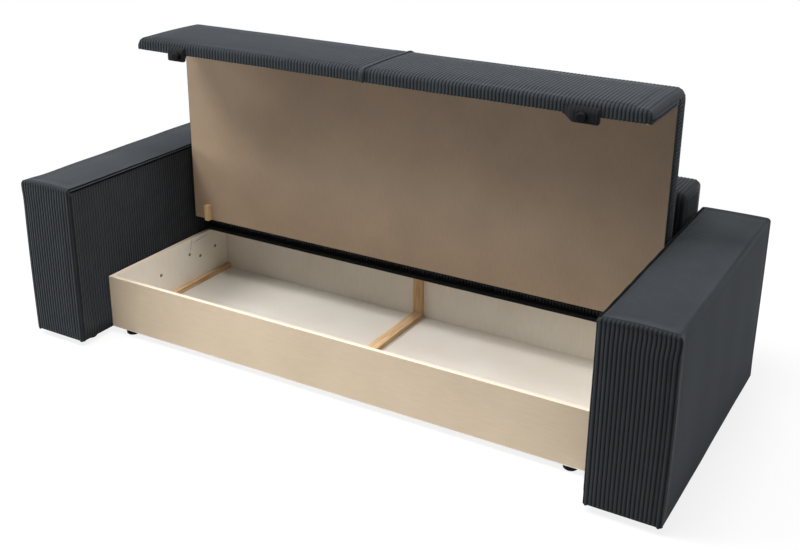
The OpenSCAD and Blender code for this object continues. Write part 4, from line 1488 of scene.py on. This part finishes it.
@dataclass
class Seat:
    """The lifting seat: two halves of cover rolled over the apron, and the seam between them.

    Its sections are of the closed seat, in Y-Z, and start at the apron's inner lower edge.
    """

    front_r: float = 55 * MM
    rear_r: float = 30 * MM
    lip_r: float = 16 * MM
    lip_rise: float = 3.5 * MM
    hem_r: float = 3.5 * MM
    end_r: float = 26 * MM
    seam_r: float = 6 * MM
    end_gap: float = 2.5 * MM
    crown: float = 12 * MM
    apron_crown: float = 3 * MM
    end_share: float = 0.4
    cheek_t: float = 6 * MM
    slab_puff: float = 2 * MM
    drop_puff: float = 4 * MM
    ply: float = 0.2 * MM
    plain_step: float = 30 * MM
    slab_gap: float = 1.5 * MM
    fade: Pair = (3 * MM, 10 * MM)
    strip_h: float = 2.6 * MM
    strip_bulge: float = 5.5 * MM
    strip_lip: Pair = (2.0, 0.9)
    strip_edge: Pair = (4.5, 0.5)
    strip_spread: float = 1.3
    strip_sink: float = 1.2 * MM
    relief: tuple[float, ...] = (1.0, 1.0, 1.0, 0.6, 0.6, 0.85, 1.0, 1.0)
    pad_t: float = 14 * MM
    pad_drop: float = 22 * MM
    pad_out: float = 50 * MM
    pad_flat: float = 14 * MM
    pad_slope: float = 15 * MM
    pad_least: float = 0.08
    pad_end_r: float = 5 * MM
    pad_edge_r: float = 6 * MM
    pad_edge_share: float = 0.4
    pad_rib_share: float = 0.8
    pad_bow: float = 2.5 * MM
    pad_root: float = 3 * MM
    # Painted shade: the foot pads' tone is held low for the shade under the lip.
    pad_painted_shade: float = 0.2
    pad_reach: Pair = (26 * MM, 70 * MM)
    pad_sweep: Pair = (6 * MM, 39 * MM)

    def section(self, inset: Array, lift: Array, shut: Array) -> list[Run]:
        """Section from the apron's lower edge over the top to the rear, then the frame's hollow.

        Args:
            inset: How far the skin is drawn in at each station.
            lift: Share of the crown at each station.
            shut: Whether the station has no hollow.

        Returns:
            The section's stretches, clockwise.
        """
        p = PLAN
        share = inset / self.end_r
        y0, y1 = p.apron_y + inset, p.seat_end - inset * self.end_share
        z0, z1 = p.lip_z + np.minimum(inset * self.end_share, self.lip_rise), p.seat_top - inset
        rl, rr = (radius * (1 - share / 2) for radius in (self.lip_r, self.rear_r))
        rf, rh = self.front_r - inset, self.hem_r
        board, skin_y = p.seat_under + p.sheet_t, p.seat_end - p.wrap_t
        board_y, cover_y = p.apron_in_y - p.apron_board_t, p.seat_end - p.cover_t
        floor = np.maximum(p.lip_z + p.wrap_t, z0 + rh + self.ply)
        hollow = [(skin_y, p.seat_under), (skin_y, board), (cover_y, board + self.ply),
                  (cover_y, p.seat_deck), (board_y, p.seat_deck), (board_y, floor),
                  (p.apron_in_y, floor + self.ply)]
        plain = [(skin_y - self.plain_step * k, p.seat_under) for k in range(4)]
        plain += [(p.apron_in_y, p.seat_under), (p.apron_in_y, p.seat_under / 2), (p.apron_in_y, floor + MM)]
        inner = [tuple(np.where(shut, b, a) for a, b in zip(*pair)) for pair in zip(hollow, plain)]
        return [
            Run(turn((p.apron_in_y - rh, z0 + rh), rh, 360, 270), 4, 1),
            Run(line((p.apron_in_y - rh, z0), (y0 + rl, z0)), 4, 2),
            Run(turn((y0 + rl, z0 + rl), rl, 270, 180), 8, 3),
            Run(line((y0, z0 + rl), (y0, z1 - rf), lift * self.apron_crown, (-1, 0)), 16, 7),
            Run(turn((y0 + rf, z1 - rf), rf, 180, 90), 16, 5),
            Run(line((y0 + rf, z1), (y1 - rr, z1), lift * self.crown, (0, 1)), 34, 16),
            Run(turn((y1 - rr, z1 - rr), rr, 90, 0), 9, 3),
            Run(line((y1, z1 - rr), (y1, p.seat_under)), 5, 2),
            *path([(y1, p.seat_under), *inner, (p.apron_in_y, z0 + rh)]),
        ]

    def half_section(self, x: Array) -> list[Run]:
        """Section of the right half: drawn in at the centre seam and at the end.

        Args:
            x: Stations as a column.

        Returns:
            The section's stretches, clockwise.
        """
        end = PLAN.seat_half_w - self.end_gap - x
        inset = np.maximum(rounding(x - PLAN.welt_w / 2, self.seam_r), rounding(end, self.end_r))
        return self.section(inset, np.sqrt(np.clip(end / self.end_r, 0, 1)), end < PLAN.wrap_t - self.end_gap)

    def half(self) -> Skin:
        """One half of the cover, over top and apron.

        Returns:
            The right half, lifted.
        """
        high, step = PLAN.seat_half_w - self.end_gap, PLAN.seat_half_w - PLAN.wrap_t
        cover = Cover(self.half_section, PLAN.welt_w / 2, high, PLAN.welt_w / 2, fade=self.fade,
                      extra=(step - MM / 2, step + MM / 2), relief=self.relief,
                      swelling=Swelling(cap=5 * MM))
        return cover.skin().lifted()

    def cheek(self) -> Skin:
        """Boxing of the seat's end: ribs across the slab, and down the apron beside it.

        Returns:
            The right end's two strips, lifted.
        """
        p = PLAN
        x0, x1, front = p.seat_half_w - self.cheek_t, p.seat_half_w, p.apron_y + self.end_r
        rear, low = p.seat_end - self.end_r * self.end_share, p.lip_z + self.lip_rise
        slab = Boxing((x0, front, p.seat_under + self.slab_gap), (x1, rear, p.seat_top - self.end_r), 1, 10,
                      p.apron_in_y, self.slab_puff)
        drop = Boxing((x0, front, low), (x1, p.apron_in_y, p.seat_under + MM), 1, 20,
                      p.apron_in_y, self.drop_puff)
        return Skin.joined([slab.skin(), drop.skin()]).lifted()

    def centre_seam(self) -> Skin:
        """Sewn-down strip over the joint of the halves, between two stitch lines.

        Formula: the seat's section raised along its normal by the strip's height, less the fourth
        power of the way across. The height swells by a bell curve where the strip turns over the
        lip, and by half of one over the top edge; the width swells over the lip. Each bell's place
        and width are counted in stretches of the section.

        Returns:
            The strip, lifted.
        """
        s = np.linspace(-1, 1, 15)
        full = np.ones((len(s), 1))
        plane, skins, places = ring(self.section(0 * full, full, full < 0), len(s))
        lip, edge = (np.exp(-(((places - at) / width) ** 2))
                     for at, width in (self.strip_lip, self.strip_edge))
        height = (self.strip_h + self.strip_bulge * (lip + edge / 2)) * skins
        rise = (1 - s**4)[:, None] * height - self.strip_sink * (s**4)[:, None] * skins
        points = along_x(plane + outward(plane) * rise[..., None], s * (PLAN.welt_w / 2 - self.strip_sink))
        points[..., 0] *= 1 + self.strip_spread * lip * skins
        # Painted shade: the tone falls to the groove colour at both edges of the strip, where it is sewn down
        # to the cover.
        return Skin.row(points, (1 - s**6)[:, None] * skins).lifted()

    def foot_pad(self, side: Side) -> Skin:
        """Pad under the lip that carries one apron foot, its inner end swept into the lip.

        Formula: a flat bottom with a rounded rear edge and a slope into the lip, whose size grows
        by a smooth step from its inner end, is rounded at its outer end, and dips with the ribs.

        Args:
            side: Side of the foot.

        Returns:
            The pad, lifted.
        """
        p, number = PLAN, list(Side).index(side)
        low, high = p.apron_foot_x - self.pad_reach[number], p.apron_foot_x + self.pad_out
        x = WALE.places(low, high, p.welt_w / 2, [low + MM, low + 3 * MM, high - 3 * MM, high - MM])[:, None]
        grown = self.pad_least + (1 - self.pad_least) * ease((x - low) / self.pad_sweep[number])
        end = rounding(high - x, self.pad_end_r)
        z0, y1 = p.lip_z - self.pad_t * grown + end, p.apron_in_y + self.pad_drop * grown - end
        r = np.minimum(self.pad_edge_r, self.pad_edge_share * self.pad_t * grown + self.ply)
        rib = WALE.depth * self.pad_rib_share * (WALE.share(x, p.welt_w / 2) - 1)
        near, inside = p.apron_in_y - self.pad_flat, p.lip_z + self.pad_root
        far = near - self.pad_slope
        runs = [
            Run(turn((y1 - r, z0 + r), r, 360, 270), 5, 1),
            Run(line((y1 - r, z0), (near, z0 - rib / 2)), 6, 1),
            Run(line((near, z0 - rib / 2), (far, p.lip_z - rib), self.pad_bow * grown, (-0.7, -0.7)), 8, 1),
            *path([(far, p.lip_z - rib), (far, inside), (y1, inside), (y1, z0 + r)]),
        ]
        plane, skins, _ = ring(runs, len(x))
        # Painted shade: the pad's tone is held low, darker than the cloth is, for the shade under the lip.
        tone = WALE.share(x, p.welt_w / 2) * skins * self.pad_painted_shade
        return Skin.row(along_x(plane, x[:, 0]), tone).on(side).lifted()

    def build(self) -> list[bpy.types.Object]:
        """Makes the seat's pieces and lets them stand for the part's nodes.

        Returns:
            The pieces.
        """
        made, cloth = [], Palette.CORDUROY
        for side in Side:
            half = self.half().on(side).build(f"seat_{side.word}_cover", cloth, Body.SEAT)
            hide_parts(f"seat_pad_{side.word}")
            made += [half, self.cheek().on(side).build(f"seat_{side.word}_boxing", cloth, Body.SEAT)]
        seam = self.centre_seam().build("seat_centre_seam", cloth, Body.SEAT)
        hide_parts("seat_welt")
        both = Skin.joined([self.foot_pad(side) for side in Side])
        pads = both.build("apron_foot_pad_covers", cloth, Body.SEAT)
        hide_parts("apron_foot_pads")
        return [*made, seam, pads]


@dataclass
class Workshop:
    """Finishes of the carried-over nodes, and the maker's pencil marks in the box."""

    nodes: dict[str, bpy.types.Object]
    stroke_w: float = 1.8 * MM
    stroke_t: float = 0.3 * MM
    stroke_lap: float = MM / 20
    stroke_bow: float = 0.8 * MM
    bow_rate: float = 3.0
    taper: Pair = (0.1, 0.8)
    strokes: tuple[tuple[Pair, Pair], ...] = (
        ((0.100, 0.2345), (0.082, 0.176)),
        ((0.103, 0.212), (0.205, 0.2205)),
    )
    finishes: dict[Palette, tuple[str, ...]] = field(default_factory=lambda: {
        Palette.FRONT_BOARD: ("box_front_board",),
        # The box's end boards take the paler copy of the ivory foil, painted light.
        Palette.PALE_BOARD: ("box_side_left", "box_side_right"),
        Palette.PALE_WALL: ("box_rear_board",),
        Palette.PALE_FLOOR: ("box_floor_left", "box_floor_right"),
        Palette.SEAT_BOARD: ("seat_underboard", "seat_deck"),
        Palette.RAW_BOARD: (
            "arm_left_side_panels", "arm_left_end_boards", "arm_left_top_board",
            "arm_right_side_panels", "arm_right_end_boards", "arm_right_top_board",
            "back_front_panel", "back_rear_panel", "back_top_board", "back_uprights", "apron_board",
        ),
        Palette.PINE_X: ("arm_left_foot_rails", "arm_right_foot_rails", "seat_long_rails"),
        Palette.PINE_Y: ("box_side_battens", "box_centre_batten", "back_foot_rails"),
        Palette.PINE_Z: ("box_rear_cleat", "seat_cross_rails", "pivot_blocks", "seat_rest_battens"),
        Palette.PLASTIC: ("arm_left_feet", "arm_right_feet", "box_feet", "back_feet", "apron_feet"),
        Palette.ZINC: (
            "arm_bolts", "arm_bolt_nuts", "arm_pivot_plates", "pivot_pins", "pivot_nuts", "arm_plate_screws",
            "seat_pivot_plates", "seat_plate_screws",
        ),
        Palette.DUST_CLOTH: ("arm_left_dust_cloth", "arm_right_dust_cloth", "back_dust_cloth"),
    })

    def dress(self) -> None:
        """Gives every carried-over node its finish."""
        for finish, names in self.finishes.items():
            for name in names:
                self.nodes[name].data.materials.clear()
                self.nodes[name].data.materials.append(finish.material)

    def pencil(self) -> bpy.types.Object:
        """Two pencil strokes on the left end board.

        Formula: a thin ribbon along the straight line between two points in Y-Z, bowed by a sine
        and tapered towards both ends by the middle of another sine's half wave.

        Returns:
            The marks.
        """
        x0 = -PLAN.box_inner_x - self.stroke_lap
        t = np.linspace(0, 1, 14)[:, None]
        start, share = self.taper
        parts = []
        for a, b in self.strokes:
            way = np.array(b) - np.array(a)
            across = np.array([-way[1], way[0]]) / np.linalg.norm(way)
            middle = np.array(a) + t * way + np.sin(self.bow_rate * t) * self.stroke_bow * across
            half = self.stroke_w / 2 * np.sin(np.pi * (start + share * t)) * across
            corners = ((0, half), (self.stroke_t, half), (self.stroke_t, -half), (0, -half))
            rings = [np.column_stack([np.full(len(t), x0 + rise), middle + offset])
                     for rise, offset in corners]
            parts.append(Skin.row(np.stack(rings, 1)))
        marks = Skin.joined(parts).build("box_pencil_marks", Palette.GRAPHITE, Body.FRAME, "pale_board")
        outwards(marks)
        return marks

    def build(self) -> list[bpy.types.Object]:
        """Dresses the nodes and draws the marks."""
        self.dress()
        return [self.pencil()]


def outwards(piece: bpy.types.Object) -> None:
    """Turns the faces of a closed mesh outwards.

    Args:
        piece: The object.
    """
    work = bmesh.new()
    work.from_mesh(piece.data)
    bmesh.ops.recalc_face_normals(work, faces=work.faces)
    work.to_mesh(piece.data)
    work.free()


# --- Studio ---------------------------------------------------------------------------------


def unit(vector: Sequence[float]) -> Array:
    """The vector at a length of 1."""
    return np.array(vector) / np.linalg.norm(vector)


def facing(place: Sequence[float], right: Array, up: Array, back: Array) -> Matrix:
    """Matrix of an object that looks along its own -Z, away from back."""
    return Matrix.Translation(place) @ Matrix((tuple(right), tuple(up), tuple(back))).transposed().to_4x4()


@dataclass(frozen=True)
class Lamp:
    """A rectangular soft lamp: its place, the point that it faces, its size and its power."""

    name: str
    place: Point
    target: Point
    size: Pair
    watts: float

    def build(self) -> None:
        """Makes the lamp and turns it to its target, with its first size level."""
        data = bpy.data.lights.new(self.name, "AREA")
        data.shape = "RECTANGLE"
        data.size, data.size_y = self.size
        data.energy = self.watts
        lamp = bpy.data.objects.new(self.name, data)
        bpy.context.scene.collection.objects.link(lamp)
        away = unit(np.array(self.place) - np.array(self.target))
        right = unit(np.cross([0.0, 0.0, 1.0], away))
        lamp.matrix_world = facing(self.place, right, np.cross(away, right), away)


@dataclass
class Studio:
    """White floor and surroundings, soft lamps and the camera at the photograph's view."""

    floor_half: float = 30.0
    world_strength: float = 0.05
    eye: Point = (1.8894, -3.1596, 1.9459)
    yaw: float = -0.52297
    pitch: float = 0.35738
    roll: float = 0.0085
    focal_px: float = 1099.50
    centre_px: Pair = (398.49, 213.10)
    image_px: tuple[int, int] = (800, 550)
    sensor_mm: float = 36.0
    lamps: tuple[Lamp, ...] = (
        Lamp("overhead_panel", (0.0, -0.7, 4.6), (0.0, -0.1, 0.4), (3.0, 2.0), 120.0),
        Lamp("overhead_strip", (-1.2, -1.7, 4.3), (0.0, 0.0, 0.4), (4.0, 1.4), 36.0),
        Lamp("upper_left_panel", (-2.6, -1.8, 4.2), (0.0, 0.0, 0.4), (1.6, 1.6), 150.0),
        Lamp("upper_right_panel", (0.7, -0.6, 3.6), (-0.6, 0.0, 0.2), (1.0, 1.2), 60.0),
        Lamp("left_panel", (-4.8, -1.6, 2.0), (0.0, 0.0, 0.5), (2.0, 2.0), 125.0),
        Lamp("right_panel", (4.6, 0.8, 2.4), (0.0, 0.0, 0.5), (2.0, 2.0), 10.0),
        Lamp("rear_panel", (0.0, 3.4, 3.8), (0.0, 0.0, 0.6), (3.0, 3.0), 50.0),
        Lamp("low_rear_panel", (0.0, 4.2, 0.6), (0.0, 0.0, 0.5), (3.0, 0.8), 90.0),
    )

    def floor(self) -> None:
        """A large plain floor."""
        r = self.floor_half
        mesh = bpy.data.meshes.new("studio_floor")
        mesh.from_pydata([(-r, -r, 0), (r, -r, 0), (r, r, 0), (-r, r, 0)], [], [(0, 1, 2, 3)])
        mesh.materials.append(Palette.PAPER.material)
        floor = bpy.data.objects.new("studio_floor", mesh)
        bpy.context.scene.collection.objects.link(floor)

    def world(self) -> None:
        """Plain white for camera, glossy and transmission rays, and a faint light on the object."""
        world = bpy.data.worlds.new("studio")
        bpy.context.scene.world = world
        world.use_nodes = True
        tree = world.node_tree
        faint, white = (add(tree, "ShaderNodeBackground", {"Color": WHITE, "Strength": strength}).outputs[0]
                        for strength in (self.world_strength, 1.0))
        mix = add(tree, "ShaderNodeMixShader", {0: white_rays(tree), 1: faint, 2: white})
        feed(tree, tree.nodes["World Output"], {"Surface": mix.outputs[0]})

    def camera(self) -> None:
        """The camera, with the photograph's place, direction, focal length and centre."""
        data = bpy.data.cameras.new("photograph_view")
        camera = bpy.data.objects.new("photograph_view", data)
        bpy.context.scene.collection.objects.link(camera)
        bpy.context.scene.camera = camera
        level = math.cos(self.pitch)
        ahead = np.array([math.sin(self.yaw) * level, math.cos(self.yaw) * level, -math.sin(self.pitch)])
        right = np.array([math.cos(self.yaw), -math.sin(self.yaw), 0.0])
        up = np.cross(right, ahead)
        c, s = math.cos(self.roll), math.sin(self.roll)
        camera.matrix_world = facing(self.eye, right * c + up * s, up * c - right * s, -ahead)
        width, height = self.image_px
        data.sensor_fit, data.sensor_width = "HORIZONTAL", self.sensor_mm
        data.lens = self.focal_px / width * self.sensor_mm
        data.shift_x = (width / 2 - self.centre_px[0]) / width
        data.shift_y = (self.centre_px[1] - height / 2) / width

    def build(self) -> None:
        """Sets up the whole studio."""
        self.floor()
        self.world()
        self.camera()
        for lamp in self.lamps:
            lamp.build()
        bpy.context.scene.view_settings.view_transform = "Standard"


def main() -> None:
    """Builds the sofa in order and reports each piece."""
    logging.basicConfig(level=logging.INFO, format="%(message)s")
    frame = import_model()
    Studio().build()
    for assembly in (Arm(Side.LEFT), Arm(Side.RIGHT), Back(), Seat(), Workshop(frame["nodes"])):
        for piece in assembly.build():
            LOG.info("%s: %d faces", piece.name, len(piece.data.polygons))


if __name__ == "__main__":
    main()
